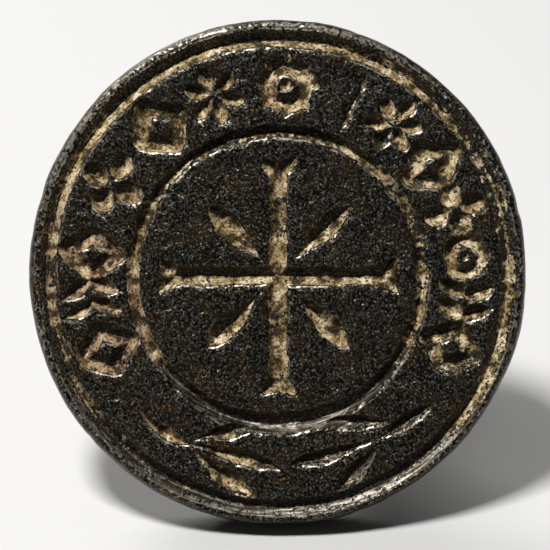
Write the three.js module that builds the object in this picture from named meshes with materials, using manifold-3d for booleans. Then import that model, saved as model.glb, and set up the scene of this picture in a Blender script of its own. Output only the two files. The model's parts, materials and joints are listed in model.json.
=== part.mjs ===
import * as THREE from 'three';
import { mergeVertices } from 'three/addons/utils/BufferGeometryUtils.js';
import Module from 'manifold-3d';

// A round seal matrix with a folding handle, in millimetres, +Z up, lying as it is put down on a table.
// Every piece is drawn in the frame of the die: the engraved face is the plane y = 0 and looks along -Y,
// the back and the handle lie towards +Y, and x and z run across and up the face. At the end the whole
// is tipped back until the rim and the head of the handle stand on one surface.

// Die plate
const dieRadius = 15;
const dieThickness = 3.4;
const dieOval = 0.12; // filed by hand: this much taller, and this much narrower, than round
const rimRollWidth = 0.36; // from the crest of the rim out to the widest part of the edge
const rimRollDepth = 0.9;
const rimCrestWidth = 0.19;
const backRollWidth = 1.4;
const backRollDepth = 1.5;

// Engraving. The graver cuts a V, so a wide stretch of a stroke is also a deep one.
const graverSlope = 1.15; // depth of a cut for each millimetre of its half width
const strokeWidth = 0.7;
const strokeTaper = 0.4; // length of the point at each end of a straight stroke
const borderWidth = 1.35;
const borderDepth = 0.62;
const borderDeepestShare = 0.48; // of the border's width, from its inner edge
const circleRadius = 8.65;
const circleDrop = 0.24; // the inner circle was set out this far below the middle of the die
const circleLowerWidth = 1.15; // where the sprigs' upper leaves run into it
const markInnerGap = 0.42;
const markOuterGap = 0.12;
const deviceGap = 1.15; // from the device out to the inner circle
const forkReach = 1.45;
const forkSpread = 48; // degrees to each side of the arm
const forkWidth = 0.8;
const quarterLeafWidth = 1.05;
const quarterLeafInset = 1.3;
const quarterLeafGap = 1.1; // from the tip of a leaf out to the reach of the arms
const dividerWidth = 0.2;

// Hinge saddle, brazed to the middle of the back
const brazeGap = 0.05;
const footThickness = 1.2;
const footHeight = 8.4;
const footLedge = 1.2; // foot beyond the outside of each ear
const footCant = 1.7;
const earThickness = 1.7;
const earRadius = 2.35;
const earRootHeight = 6.6;

// Pin
const pinRadius = 0.95;
const pinRunningGap = 0.06;
const pinDomeRadius = 1.6;
const pinDomeHeight = 0.65;
const pinDomeGap = 0.04;

// Folding handle
const knuckleRadius = 2.3;
const knuckleWidth = 5;
const knuckleSideGap = 0.12;
const knuckleFootGap = 0.35;
const heelGap = 0.1; // the heel meets the foot and keeps the handle from folding downwards
const heelHeight = 1.4;
const shankRootWidth = 4.6;
const shankRootThickness = 2.9;
const shankNeckWidth = 3.3;
const shankNeckThickness = 2.1;
const shankCant = 0.55;
const headDistance = 16; // from the pin to the middle of the head
const headThickness = 2.2;
const headEdgeRoll = 0.4;
const headCoreRadius = 5.3;
const lobeRadius = 3.1;
const lobeDistance = 4.8; // from the middle of the head
const eyeRadius = 3.7;
const collarWidth = 1.5;
const collarSwell = 0.55; // the neck moulding stands this far proud of the shank
const collarFromCore = 1.6;

// Roundness of the turned forms, in segments
const dieSegments = 84;
const smallSegments = 24;
const cutterRise = 0.2; // a cutting tool starts this far in front of the face

const borderOuter = dieRadius - rimRollWidth - rimCrestWidth;
const borderInner = borderOuter - borderWidth;
const bandInner = circleRadius + strokeWidth / 2;
const markInner = bandInner + markInnerGap;
const markOuter = borderInner - markOuterGap;
const footFront = dieThickness + brazeGap;
const footBack = footFront + footThickness;
const pinY = footBack + knuckleFootGap + knuckleRadius;
const earInside = knuckleWidth / 2 + knuckleSideGap;
const earOutside = earInside + earThickness;
const headY = pinY + headDistance;

const wasm = await Module();
wasm.setup();

// A closed solid from a three.js geometry: only positions are kept, shared corners are merged and
// triangles that have shrunk to a line, as at the pole of a turned form, are dropped.
function solidOf(geometry) {
  const plain = geometry.clone();
  plain.deleteAttribute('normal');
  plain.deleteAttribute('uv');
  const merged = mergeVertices(plain, 1e-5);
  const corners = merged.index.array;
  const kept = [];
  for (let i = 0; i < corners.length; i += 3) {
    const [a, b, c] = [corners[i], corners[i + 1], corners[i + 2]];
    if (a !== b && b !== c && c !== a) kept.push(a, b, c);
  }
  const mesh = new wasm.Mesh({
    numProp: 3,
    vertProperties: new Float32Array(merged.attributes.position.array),
    triVerts: new Uint32Array(kept),
  });
  return new wasm.Manifold(mesh);
}

// Back from a solid to a three.js geometry.
function geometryOf(solid) {
  const mesh = solid.getMesh();
  const geometry = new THREE.BufferGeometry();
  geometry.setAttribute('position', new THREE.BufferAttribute(new Float32Array(mesh.vertProperties), 3));
  geometry.setIndex(new THREE.BufferAttribute(new Uint32Array(mesh.triVerts), 1));
  const faceted = geometry.toNonIndexed();
  faceted.computeVertexNormals();
  return faceted;
}

// A closed skin over a row of sections, each a ring of as many corners, counter-clockwise when seen from
// the last section.
function loft(sections) {
  const count = sections[0].length;
  const positions = sections.flat().flatMap((corner) => [corner.x, corner.y, corner.z]);
  const faces = [];
  for (let i = 0; i + 1 < sections.length; i++) {
    for (let k = 0; k < count; k++) {
      const a = i * count + k;
      const b = i * count + ((k + 1) % count);
      faces.push(a, b, b + count, a, b + count, a + count);
    }
  }
  const last = (sections.length - 1) * count;
  for (let k = 1; k + 1 < count; k++) {
    faces.push(0, k + 1, k);
    faces.push(last, last + k, last + k + 1);
  }
  const geometry = new THREE.BufferGeometry();
  geometry.setAttribute('position', new THREE.Float32BufferAttribute(positions, 3));
  geometry.setIndex(faces);
  return geometry;
}

// A quarter of an ellipse about (centreR, centreY), as profile points from one angle to another.
function rolledEdge(centreR, centreY, width, height, fromDegrees, toDegrees, steps) {
  const points = [];
  for (let i = 0; i <= steps; i++) {
    const angle = THREE.MathUtils.degToRad(fromDegrees + ((toDegrees - fromDegrees) * i) / steps);
    points.push(new THREE.Vector2(centreR + width * Math.cos(angle), centreY + height * Math.sin(angle)));
  }
  return points;
}

// A point of the face from its angle in degrees, counter-clockwise from +X, and its radius.
function onFace(degrees, radius) {
  const angle = THREE.MathUtils.degToRad(degrees);
  return new THREE.Vector2(radius * Math.cos(angle), radius * Math.sin(angle));
}

// A point of the legend band, across it from 0 at the inner circle to 1 at the border.
function onBand(degrees, across) {
  return onFace(degrees, THREE.MathUtils.lerp(bandInner, borderInner, across));
}

// One stroke of the graver along a curve of the face. Each station is a share of the curve and the width
// of the cut there. The cut comes up to the face, and a hair past it, where the width is nothing.
function stroke(curve, stations) {
  const sections = stations.map(([t, width]) => {
    const middle = curve.getPoint(t);
    const along = curve.getTangent(t);
    const half = width / 2 + cutterRise / graverSlope;
    const depth = (width / 2) * graverSlope - 0.005;
    return [
      new THREE.Vector3(middle.x, depth, middle.y),
      new THREE.Vector3(middle.x - along.y * half, -cutterRise, middle.y + along.x * half),
      new THREE.Vector3(middle.x + along.y * half, -cutterRise, middle.y - along.x * half),
    ];
  });
  return solidOf(loft(sections));
}

// A straight stroke of even width with a short point at each end.
function bar(from, to, width = strokeWidth) {
  const point = Math.min(0.45, strokeTaper / from.distanceTo(to));
  return stroke(new THREE.LineCurve(from, to), [[0, 0], [point, width], [1 - point, width], [1, 0]]);
}

// A leaf-shaped stroke, pointed at both ends and widest at a share of its length.
function leaf(from, to, widest, widestAt = 0.5, via = null) {
  const middle = via ?? from.clone().lerp(to, 0.5);
  const control = middle.clone().multiplyScalar(2).sub(from.clone().lerp(to, 0.5));
  const power = Math.log(0.5) / Math.log(widestAt);
  const steps = 6;
  const stations = [[0, 0]];
  for (let i = 1; i < steps; i++) {
    stations.push([i / steps, widest * Math.sin(Math.PI * (i / steps) ** power)]);
  }
  return stroke(new THREE.QuadraticBezierCurve(from, control, to), [...stations, [1, 0]]);
}

// A wedge: blunt where it leaves another stroke, pointed at its far end.
function wedge(from, to, width) {
  return stroke(new THREE.LineCurve(from, to), [[0, width], [0.35, width * 0.9], [0.7, width * 0.5], [1, 0]]);
}

// A ring-shaped stroke about a point of the face.
function ring(centre, radius, width, segments) {
  const half = width / 2 + cutterRise / graverSlope;
  const depth = (width / 2) * graverSlope;
  const profile = [
    new THREE.Vector2(radius - half, -cutterRise),
    new THREE.Vector2(radius + half, -cutterRise),
    new THREE.Vector2(radius, depth),
    new THREE.Vector2(radius - half, -cutterRise),
  ];
  const geometry = new THREE.LatheGeometry(profile, segments);
  return solidOf(geometry.translate(centre.x, 0, centre.y));
}

// A drilled pit with a pointed bottom.
function pit(centre, width) {
  const profile = [
    new THREE.Vector2(0, -cutterRise),
    new THREE.Vector2(width / 2 + cutterRise / graverSlope, -cutterRise),
    new THREE.Vector2(0, (width / 2) * graverSlope),
  ];
  const geometry = new THREE.LatheGeometry(profile, 10);
  return solidOf(geometry.translate(centre.x, 0, centre.y));
}

// The ornaments of the legend band. Each is drawn about its own middle, u across it and v outwards, in
// units of its half width and half height, and at(u, v) puts that point on the face.
function lozenge(at) {
  const corners = [[0, 0.84], [0.84, 0], [0, -0.84], [-0.84, 0]];
  const overrun = 0.2; // the strokes cross a little past each corner
  return corners.map(([u, v], i) => {
    const [nextU, nextV] = corners[(i + 1) % corners.length];
    const [du, dv] = [(nextU - u) * overrun, (nextV - v) * overrun];
    return bar(at(u - du, v - dv), at(nextU + du, nextV + dv));
  });
}

function chevrons(at) {
  const cuts = [];
  for (const heel of [-0.95, 0.15]) {
    cuts.push(leaf(at(heel, 1), at(heel + 0.85, -0.1), strokeWidth, 0.55));
    cuts.push(leaf(at(heel, -1), at(heel + 0.85, 0.1), strokeWidth, 0.55));
  }
  return cuts;
}

function quatrefoil(at) {
  const tips = [[0, 1], [1, 0], [0, -1], [-1, 0]];
  return tips.map(([u, v]) => leaf(at(u * 0.06, v * 0.06), at(u, v), strokeWidth * 1.5, 0.62));
}

function star(at) {
  const rays = 6;
  const cuts = [];
  for (let i = 0; i < rays; i++) {
    const tip = onFace(90 + (i * 360) / rays, 1);
    cuts.push(leaf(at(tip.x * 0.05, tip.y * 0.05), at(tip.x * 1.1, tip.y), strokeWidth * 1.1, 0.6));
  }
  return cuts;
}

function annulet(at) {
  const centre = at(0, 0);
  const radius = centre.distanceTo(at(0.74, 0));
  return [ring(centre, radius, strokeWidth, smallSegments), pit(centre, strokeWidth * 0.6)];
}

function sun(at) {
  const centre = at(0, 0);
  const radius = centre.distanceTo(at(0, 0.62));
  const cuts = [ring(centre, radius, strokeWidth * 1.2, smallSegments), pit(centre, strokeWidth)];
  const rays = 8;
  for (let i = 0; i < rays; i++) {
    const root = onFace((i * 360) / rays, 0.7);
    const tip = onFace((i * 360) / rays, 1.08);
    cuts.push(wedge(at(root.x * 0.9, root.y), at(tip.x * 0.9, tip.y), strokeWidth * 0.8));
  }
  return cuts;
}

function divider(at) {
  return [bar(at(0, -1.1), at(0, 1.04), dividerWidth)];
}

// Where the ornaments stand: degrees counter-clockwise from +X, the ornament and its width.
const marks = [
  { degrees: 204, draw: lozenge, width: 3 },
  { degrees: 188, draw: chevrons, width: 2.4 },
  { degrees: 174, draw: lozenge, width: 2.8 },
  { degrees: 152, draw: quatrefoil, width: 3.5 },
  { degrees: 129, draw: lozenge, width: 3.3 },
  { degrees: 110, draw: star, width: 3.1 },
  { degrees: 87.5, draw: sun, width: 3.9 },
  { degrees: 66, draw: divider, width: 1 },
  { degrees: 52, draw: star, width: 3.1 },
  { degrees: 35, draw: lozenge, width: 3 },
  { degrees: 19.5, draw: quatrefoil, width: 2.9 },
  { degrees: 5, draw: annulet, width: 2.6 },
  { degrees: -8.5, draw: chevrons, width: 2.3 },
  { degrees: -23.5, draw: lozenge, width: 3 },
];

function markCuts() {
  const height = markOuter - markInner;
  return marks.flatMap(({ degrees, draw, width }) => {
    const centre = onFace(degrees, (markInner + markOuter) / 2);
    const outwards = onFace(degrees, height / 2);
    const onwards = onFace(degrees - 90, width / 2);
    return draw((u, v) => new THREE.Vector2(
      centre.x + u * onwards.x + v * outwards.x,
      centre.y + u * onwards.y + v * outwards.y,
    ));
  });
}

// The device: a cross whose arms end in forks, with a leaf in each quarter.
function deviceCuts() {
  const middle = new THREE.Vector2(0, -circleDrop);
  const from = (degrees, radius) => onFace(degrees, radius).add(middle);
  const reach = circleRadius - strokeWidth / 2 - deviceGap;
  const armEnd = reach - forkReach * Math.cos(THREE.MathUtils.degToRad(forkSpread));
  const cuts = [
    bar(from(180, armEnd + strokeTaper), from(0, armEnd + strokeTaper)),
    bar(from(270, armEnd + strokeTaper), from(90, armEnd + strokeTaper)),
  ];
  for (const degrees of [0, 90, 180, 270]) {
    const root = from(degrees, armEnd);
    for (const side of [-1, 1]) {
      const tip = root.clone().add(onFace(degrees + side * forkSpread, forkReach));
      cuts.push(wedge(root, tip, forkWidth));
    }
    const [inner, outer] = [from(degrees + 45, quarterLeafInset), from(degrees + 45, reach - quarterLeafGap)];
    cuts.push(leaf(inner, outer, quarterLeafWidth, 0.62));
  }
  return cuts;
}

// The two sprigs at the foot of the band. Each is a short stem of two strokes that parts into three
// leaves: one runs on along the band, one out into the border and one in to the inner circle.
function sprigCuts() {
  return [
    leaf(onBand(224.8, 0.66), onBand(243.3, 0.62), 0.5, 0.5, onBand(234.8, 0.66)),
    leaf(onBand(242.8, 0.62), onBand(270.6, 0.66), 0.66, 0.66, onBand(255.4, 0.54)),
    leaf(onBand(243, 0.64), onBand(264.6, 1.1), 0.76, 0.66, onBand(253, 0.84)),
    leaf(onBand(243.4, 0.54), onBand(264, 0.04), 0.62, 0.55, onBand(253, 0.22)),
    leaf(onBand(319.6, 0.78), onBand(302.1, 0.65), 0.5, 0.5, onBand(310.9, 0.67)),
    leaf(onBand(303, 0.64), onBand(273.6, 0.59), 0.6, 0.66, onBand(287, 0.56)),
    leaf(onBand(299.4, 0.74), onBand(284.6, 1.14), 0.58, 0.6, onBand(292, 0.9)),
    leaf(onBand(306.6, 0.56), onBand(281, 0.04), 0.6, 0.5, onBand(294, 0.18)),
  ];
}

// The inner circle, and the wider cut along its foot.
function circleCuts() {
  const centre = new THREE.Vector2(0, -circleDrop);
  const from = THREE.MathUtils.degToRad(226);
  const to = THREE.MathUtils.degToRad(318);
  const lowerRadius = circleRadius + (circleLowerWidth - strokeWidth) / 4;
  const arc = new THREE.ArcCurve(centre.x, centre.y, lowerRadius, from, to);
  const steps = 16;
  const stations = [[0, 0]];
  for (let i = 1; i < steps; i++) {
    stations.push([i / steps, circleLowerWidth * Math.sin((Math.PI * i) / steps) ** 0.6]);
  }
  return [ring(centre, circleRadius, strokeWidth, dieSegments), stroke(arc, [...stations, [1, 0]])];
}

// The blank is turned with its rim, rolled edge and border groove, then engraved.
function diePlate() {
  const crest = dieRadius - rimRollWidth;
  const backEdge = dieRadius - backRollWidth;
  const backEdgeY = dieThickness - backRollDepth;
  const profile = [
    new THREE.Vector2(0, 0),
    new THREE.Vector2(borderInner, 0),
    new THREE.Vector2(borderInner + borderWidth * borderDeepestShare, borderDepth),
    new THREE.Vector2(borderOuter, 0),
    ...rolledEdge(crest, rimRollDepth, rimRollWidth, rimRollDepth, -90, 0, 4),
    ...rolledEdge(backEdge, backEdgeY, backRollWidth, backRollDepth, 0, 90, 5),
    new THREE.Vector2(0, dieThickness),
  ];
  const blank = new THREE.LatheGeometry(profile, dieSegments);
  blank.scale(1 - dieOval / dieRadius, 1, 1 + dieOval / dieRadius);
  let plate = solidOf(blank);
  for (const cut of [...circleCuts(), ...markCuts(), ...deviceCuts(), ...sprigCuts()]) {
    plate = plate.subtract(cut);
  }
  return geometryOf(plate);
}

// Turned on the pin's axis: a form drawn about +Y is laid along +X at the pin.
function onPinAxis(geometry) {
  return geometry.rotateZ(-Math.PI / 2).translate(0, pinY, 0);
}

// A shape drawn with its first axis along +Y and its second along +Z, as thick as asked along X and
// centred on centreX.
function sideways(shape, thickness, centreX) {
  const geometry = new THREE.ExtrudeGeometry(shape, {
    depth: thickness, bevelEnabled: false, curveSegments: smallSegments / 2,
  });
  const turn = new THREE.Matrix4().makeBasis(
    new THREE.Vector3(0, 1, 0), new THREE.Vector3(0, 0, 1), new THREE.Vector3(1, 0, 0),
  );
  return geometry.applyMatrix4(turn).translate(centreX - thickness / 2, 0, 0);
}

function pinHole(length) {
  const radius = pinRadius + pinRunningGap;
  return solidOf(onPinAxis(new THREE.CylinderGeometry(radius, radius, length, smallSegments)));
}

// The foot, canted at its corners, with an ear at each side of the knuckle.
function hingeSaddle() {
  const halfX = earOutside + footLedge;
  const halfZ = footHeight / 2;
  const outline = new THREE.Shape();
  outline.moveTo(-halfX + footCant, -halfZ);
  outline.lineTo(halfX - footCant, -halfZ);
  outline.lineTo(halfX, -halfZ + footCant);
  outline.lineTo(halfX, halfZ - footCant);
  outline.lineTo(halfX - footCant, halfZ);
  outline.lineTo(-halfX + footCant, halfZ);
  outline.lineTo(-halfX, halfZ - footCant);
  outline.lineTo(-halfX, -halfZ + footCant);
  outline.closePath();
  const edge = 0.22;
  const foot = new THREE.ExtrudeGeometry(outline, {
    depth: footThickness - edge, bevelThickness: edge, bevelSize: edge, bevelOffset: -edge,
    bevelSegments: 1,
  });
  foot.rotateX(-Math.PI / 2).translate(0, footFront, 0);
  const base = solidOf(foot).subtract(belowFoot(halfX, halfZ));
  const ear = new THREE.Shape();
  const lean = Math.atan2(earRootHeight / 2 - earRadius, pinY - footBack);
  ear.moveTo(footFront + footThickness / 2, earRootHeight / 2);
  ear.lineTo(footFront + footThickness / 2, -earRootHeight / 2);
  ear.absarc(pinY, 0, earRadius, -Math.PI / 2 - lean, Math.PI / 2 + lean, false);
  ear.closePath();
  let saddle = base;
  for (const side of [-1, 1]) {
    saddle = saddle.add(solidOf(sideways(ear, earThickness, (side * (earInside + earOutside)) / 2)));
  }
  return geometryOf(saddle.subtract(pinHole(3 * earOutside)));
}

// The room in front of the foot, which trims its bevelled underside flat.
function belowFoot(halfX, halfZ) {
  const room = new THREE.BoxGeometry(3 * halfX, 2, 3 * halfZ);
  return solidOf(room.translate(0, footFront - 1, 0));
}

// The pin is turned with a plain shaft, and its ends are hammered over the ears into low domes.
function hingePin() {
  const seat = earOutside + pinDomeGap;
  const shaft = [new THREE.Vector2(pinRadius, -seat), new THREE.Vector2(pinRadius, seat)];
  const profile = [
    ...rolledEdge(0, -seat, pinDomeRadius, pinDomeHeight, -90, 0, 5),
    ...shaft,
    ...rolledEdge(0, seat, pinDomeRadius, pinDomeHeight, 0, 90, 5),
  ];
  profile[0].x = 0;
  profile[profile.length - 1].x = 0;
  return geometryOf(solidOf(onPinAxis(new THREE.LatheGeometry(profile, smallSegments))));
}

// A rectangle across the handle with its corners canted, as one section of a loft along +Y.
function cantedSection(y, width, thickness, cant) {
  const [halfX, halfZ] = [width / 2, thickness / 2];
  const corners = [
    [halfX, halfZ - cant], [halfX, cant - halfZ], [halfX - cant, -halfZ], [cant - halfX, -halfZ],
    [-halfX, cant - halfZ], [-halfX, halfZ - cant], [cant - halfX, halfZ], [halfX - cant, halfZ],
  ];
  return corners.map(([x, z]) => new THREE.Vector3(x, y, z));
}

// The lobed head of the handle: four round lobes that meet in short flats, pierced by the eye, with its
// edges rolled off.
function handleHead() {
  const spread = (lobeDistance ** 2 + headCoreRadius ** 2 - lobeRadius ** 2) / (2 * lobeDistance);
  const half = Math.acos(spread / headCoreRadius);
  const outline = new THREE.Shape();
  for (let i = 0; i < 4; i++) {
    const middle = Math.PI / 4 + (i * Math.PI) / 2;
    const centre = new THREE.Vector2(Math.cos(middle), Math.sin(middle)).multiplyScalar(lobeDistance);
    const enter = new THREE.Vector2(Math.cos(middle - half), Math.sin(middle - half))
      .multiplyScalar(headCoreRadius).sub(centre).angle();
    const leave = new THREE.Vector2(Math.cos(middle + half), Math.sin(middle + half))
      .multiplyScalar(headCoreRadius).sub(centre).angle();
    outline.absarc(centre.x, centre.y, lobeRadius, enter, leave, false);
  }
  const eye = new THREE.Path();
  eye.absarc(0, 0, eyeRadius, 0, 2 * Math.PI, true);
  outline.holes.push(eye);
  const geometry = new THREE.ExtrudeGeometry(outline, {
    depth: headThickness - 2 * headEdgeRoll, bevelThickness: headEdgeRoll, bevelSize: headEdgeRoll,
    bevelOffset: -headEdgeRoll, bevelSegments: 2, curveSegments: 9,
  });
  return solidOf(geometry.translate(0, headY, headEdgeRoll - headThickness / 2));
}

// The moulding round the neck of the shank, as wide and thick as the shank there and a little proud.
function neckCollar(y, width, thickness) {
  const [inner, outer] = [width / 2, width / 2 + collarSwell];
  const profile = [
    new THREE.Vector2(0, -collarWidth / 2),
    new THREE.Vector2(inner, -collarWidth / 2),
    new THREE.Vector2(outer, -collarWidth / 5),
    new THREE.Vector2(outer, collarWidth / 5),
    new THREE.Vector2(inner, collarWidth / 2),
    new THREE.Vector2(0, collarWidth / 2),
  ];
  const geometry = new THREE.LatheGeometry(profile, smallSegments);
  geometry.scale(1, 1, (thickness / 2 + collarSwell) / outer);
  return solidOf(geometry.translate(0, y, 0));
}

function foldingHandle() {
  const barrel = new THREE.CylinderGeometry(knuckleRadius, knuckleRadius, knuckleWidth, smallSegments);
  const heel = new THREE.Shape();
  heel.moveTo(footBack + heelGap, -knuckleRadius);
  heel.lineTo(pinY, -knuckleRadius);
  heel.lineTo(pinY, heelHeight - knuckleRadius);
  heel.lineTo(footBack + heelGap, heelHeight - knuckleRadius);
  heel.closePath();
  const rootY = pinY + pinRadius + pinRunningGap;
  const neckY = headY - headCoreRadius;
  const shank = loft([
    cantedSection(rootY, shankRootWidth, shankRootThickness, shankCant),
    cantedSection(neckY, shankNeckWidth, shankNeckThickness, shankCant),
    cantedSection(neckY + headEdgeRoll, shankNeckWidth, shankNeckThickness, shankCant),
  ]);
  const handle = solidOf(onPinAxis(barrel))
    .add(solidOf(sideways(heel, knuckleWidth, 0)))
    .add(solidOf(shank))
    .add(neckCollar(neckY - collarFromCore, shankNeckWidth, shankNeckThickness))
    .add(handleHead())
    .subtract(pinHole(2 * knuckleWidth));
  return geometryOf(handle);
}

// The lowest reach of a piece once the matrix is tipped back by an angle.
function lowestPoint(geometry, angle) {
  const position = geometry.attributes.position;
  let lowest = Infinity;
  for (let i = 0; i < position.count; i++) {
    lowest = Math.min(lowest, position.getZ(i) * Math.cos(angle) - position.getY(i) * Math.sin(angle));
  }
  return lowest;
}

// The angle at which the rim and the head of the handle touch one level surface, found by halving.
function restingTilt(plate, handle) {
  let [shallow, steep] = [0, Math.PI / 2];
  for (let i = 0; i < 40; i++) {
    const angle = (shallow + steep) / 2;
    if (lowestPoint(plate, angle) < lowestPoint(handle, angle)) shallow = angle;
    else steep = angle;
  }
  return (shallow + steep) / 2;
}

function named(name, geometry, colour, roughness) {
  const material = new THREE.MeshStandardMaterial({ color: colour, roughness, metalness: 0.75 });
  const mesh = new THREE.Mesh(geometry, material);
  mesh.name = name;
  return mesh;
}

const plateGeometry = diePlate();
const handleGeometry = foldingHandle();
const matrix = new THREE.Group();
matrix.add(named('die_plate', plateGeometry, 0x2e2d2b, 0.5));
matrix.add(named('hinge_saddle', hingeSaddle(), 0x4a4238, 0.55));
matrix.add(named('hinge_pin', hingePin(), 0x6a5a42, 0.45));
matrix.add(named('handle', handleGeometry, 0x4f4436, 0.5));
matrix.rotation.x = -restingTilt(plateGeometry, handleGeometry);

// The origin is on the table, below the middle of the whole.
const sealMatrix = new THREE.Group();
sealMatrix.add(matrix);
sealMatrix.updateMatrixWorld(true);
const reach = new THREE.Box3().setFromObject(matrix, true);
const middle = reach.getCenter(new THREE.Vector3());
matrix.position.set(-middle.x, -middle.y, -reach.min.z);

export default sealMatrix;
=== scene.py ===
"""Looks of a round bronze seal matrix that leans back on its folding handle, on a pale floor.

Shapes are worked out in millimetres in the frame of the die: x runs across the engraved face, the second
axis up it, and the third into the plate and on along the handle. DieFrame turns them into the row frame.
"""

import json
import logging
import math
from dataclasses import dataclass, field
from enum import Enum
from functools import reduce
from typing import Callable, NamedTuple, Union

import bpy
import numpy as np
from mathutils import Matrix, Vector


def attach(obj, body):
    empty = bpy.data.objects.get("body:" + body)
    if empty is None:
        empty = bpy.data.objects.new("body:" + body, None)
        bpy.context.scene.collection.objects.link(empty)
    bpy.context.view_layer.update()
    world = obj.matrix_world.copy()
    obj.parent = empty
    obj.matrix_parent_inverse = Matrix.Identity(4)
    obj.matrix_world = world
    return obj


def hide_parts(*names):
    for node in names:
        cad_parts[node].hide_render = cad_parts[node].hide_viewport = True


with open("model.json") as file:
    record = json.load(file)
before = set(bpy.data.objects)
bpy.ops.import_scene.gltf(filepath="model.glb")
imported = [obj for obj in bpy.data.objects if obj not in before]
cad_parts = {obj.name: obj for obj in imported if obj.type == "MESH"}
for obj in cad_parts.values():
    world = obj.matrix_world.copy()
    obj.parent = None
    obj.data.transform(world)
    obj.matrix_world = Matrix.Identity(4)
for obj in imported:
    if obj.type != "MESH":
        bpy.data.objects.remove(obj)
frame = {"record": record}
log = logging.getLogger("seal_matrix")

Array = np.ndarray
Colour = tuple[float, float, float]
Span = tuple[float, float]
Socket = bpy.types.NodeSocket
Fed = Union[Socket, Colour, Vector, float]

MILLIMETRE = 0.001
PIN_DEPTH = 7.3
PIN_HOLE = 1.01
VOXEL = 0.09

LATTICE_PRIMES = (374761393, 668265263, 2147483629)
SEED_FACTOR = 1274126177
STIR_FACTOR = 2246822519
LOW_WORD = 0xFFFFFFFF
LAYER_SHIFT = 17.3
LAYER_GAIN = 1.25


# Numbers worked out on whole arrays

def lattice_noise(points: Array, cell: float, seed: int) -> Array:
    """Smooth noise: every corner of a lattice gets a number hashed from its place, eased between corners.

    Args:
        points: one row for each place, with two or three coordinates.
        cell: side of a lattice cell, in the unit of the points.
        seed: picks another noise of the same kind.

    Returns:
        A number from -1 to 1 for each place.
    """
    at = points / cell
    low = np.floor(at)
    ease = at - low
    ease = ease * ease * ease * (ease * (ease * 6 - 15) + 10)
    low = low.astype(np.int64)
    dimensions = points.shape[1]
    total = np.zeros(len(points))
    for corner in range(2 ** dimensions):
        code = np.full(len(points), seed * SEED_FACTOR, np.int64)
        weight = np.ones(len(points))
        for axis in range(dimensions):
            step = (corner >> axis) & 1
            code += (low[:, axis] + step) * LATTICE_PRIMES[axis]
            weight *= ease[:, axis] if step else 1 - ease[:, axis]
        code &= LOW_WORD
        code = ((code ^ (code >> 13)) * SEED_FACTOR) & LOW_WORD
        code = ((code ^ (code >> 16)) * STIR_FACTOR) & LOW_WORD
        total += weight * (((code ^ (code >> 15)) & 0xFFFF) / 32767.5 - 1)
    return total


def layered_noise(points: Array, cell: float, layers: int, seed: int) -> Array:
    """Several noises added up, each on half the cell and with half the height of the one before.

    Args:
        points: one row for each place.
        cell: side of the largest cell.
        layers: how many noises are added.
        seed: picks another noise of the same kind.

    Returns:
        A number of about -1 to 1 for each place.
    """
    total = np.zeros(len(points))
    share = 0.0
    for layer in range(layers):
        height = 0.5 ** layer
        total += height * lattice_noise(points + LAYER_SHIFT * layer, cell * height, seed + layer)
        share += height
    return total / share * LAYER_GAIN


def smooth_step(low: float, high: float, value: Array) -> Array:
    """Rises from 0 at low to 1 at high along the curve 3t² - 2t³."""
    t = np.clip((value - low) / (high - low), 0, 1)
    return t * t * (3 - 2 * t)


def smooth_max(one: Array, other: Array | float, blend: float) -> Array:
    """The larger of two numbers, rounded over where they differ by less than blend."""
    near = np.maximum(blend - np.abs(one - other), 0) / blend
    return np.maximum(one, other) + near * near * blend / 4


def smooth_min(one: Array, other: Array | float, blend: float) -> Array:
    """The smaller of two numbers, rounded over where they differ by less than blend."""
    return -smooth_max(-one, -other, blend)


def share_of(value: Array) -> Array:
    """Numbers held between 0 and 1."""
    return np.clip(value, 0, 1)


def bump_at(value: Array, centre: float, width: float) -> Array:
    """A bell of height 1 about a centre: e to the minus of the distance over the width, squared."""
    return np.exp(-(((value - centre) / width) ** 2))


def turned_from(degrees: Array, centre: float) -> Array:
    """How far each angle is turned from a centre, from -180 to 180 degrees."""
    return (degrees - centre + 180) % 360 - 180


def arc_window(degrees: Array, centre: float, half: float) -> Array:
    """1 over an arc about a centre, falling smoothly to 0 at 1.4 times its half width and 4 degrees."""
    return 1 - smooth_step(half, half * 1.4 + 4, np.abs(turned_from(degrees, centre)))


def on_circle(degrees: float, radius: float) -> Array:
    """The point of the face at an angle counter-clockwise from the right, at a radius."""
    angle = math.radians(degrees)
    return np.array([radius * math.cos(angle), radius * math.sin(angle)])


def all_round(count: int) -> Array:
    """So many angles, spaced evenly round a full turn, in radians."""
    return np.arange(count) * 2 * math.pi / count


def directions(angles: Array) -> Array:
    """The unit direction of each angle: its cosine and its sine."""
    return np.stack([np.cos(angles), np.sin(angles)], axis=1)


def at_depth(flat: Array, depth: Array | float) -> Array:
    """Points of the face taken down to a depth, which becomes their third coordinate."""
    return np.column_stack([flat, np.broadcast_to(depth, len(flat))])


# Meshes

@dataclass(frozen=True)
class DieFrame:
    """Where the die lies in the row frame: the middle of its face, and its three directions."""

    centre: Vector
    across: Vector
    up: Vector
    inward: Vector

    @classmethod
    def from_record(cls, record: dict) -> "DieFrame":
        """Works the frame out from the mount on the face and the hinge's axis.

        Args:
            record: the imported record.

        Returns:
            The frame of the die. Its centre is the foot of the perpendicular from the hinge to the face.
        """
        mount = next(m for m in record["mounts"] if m["name"] == "impression_face")
        joint = record["behaviour"]["joints"][0]
        inward = -Vector(mount["axis"]).normalized()
        hinge = Vector(joint["pos_m"])
        centre = hinge - inward * (hinge - Vector(mount["pos_m"])).dot(inward)
        across = Vector((1, 0, 0))
        return cls(centre, across, across.cross(inward).normalized(), inward)

    def place(self, points: Array) -> Array:
        """Takes points of the die, in millimetres, to the row frame, in metres."""
        turn = np.array([self.across, self.up, self.inward], float)
        return np.array(self.centre) + points @ turn * MILLIMETRE


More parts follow.
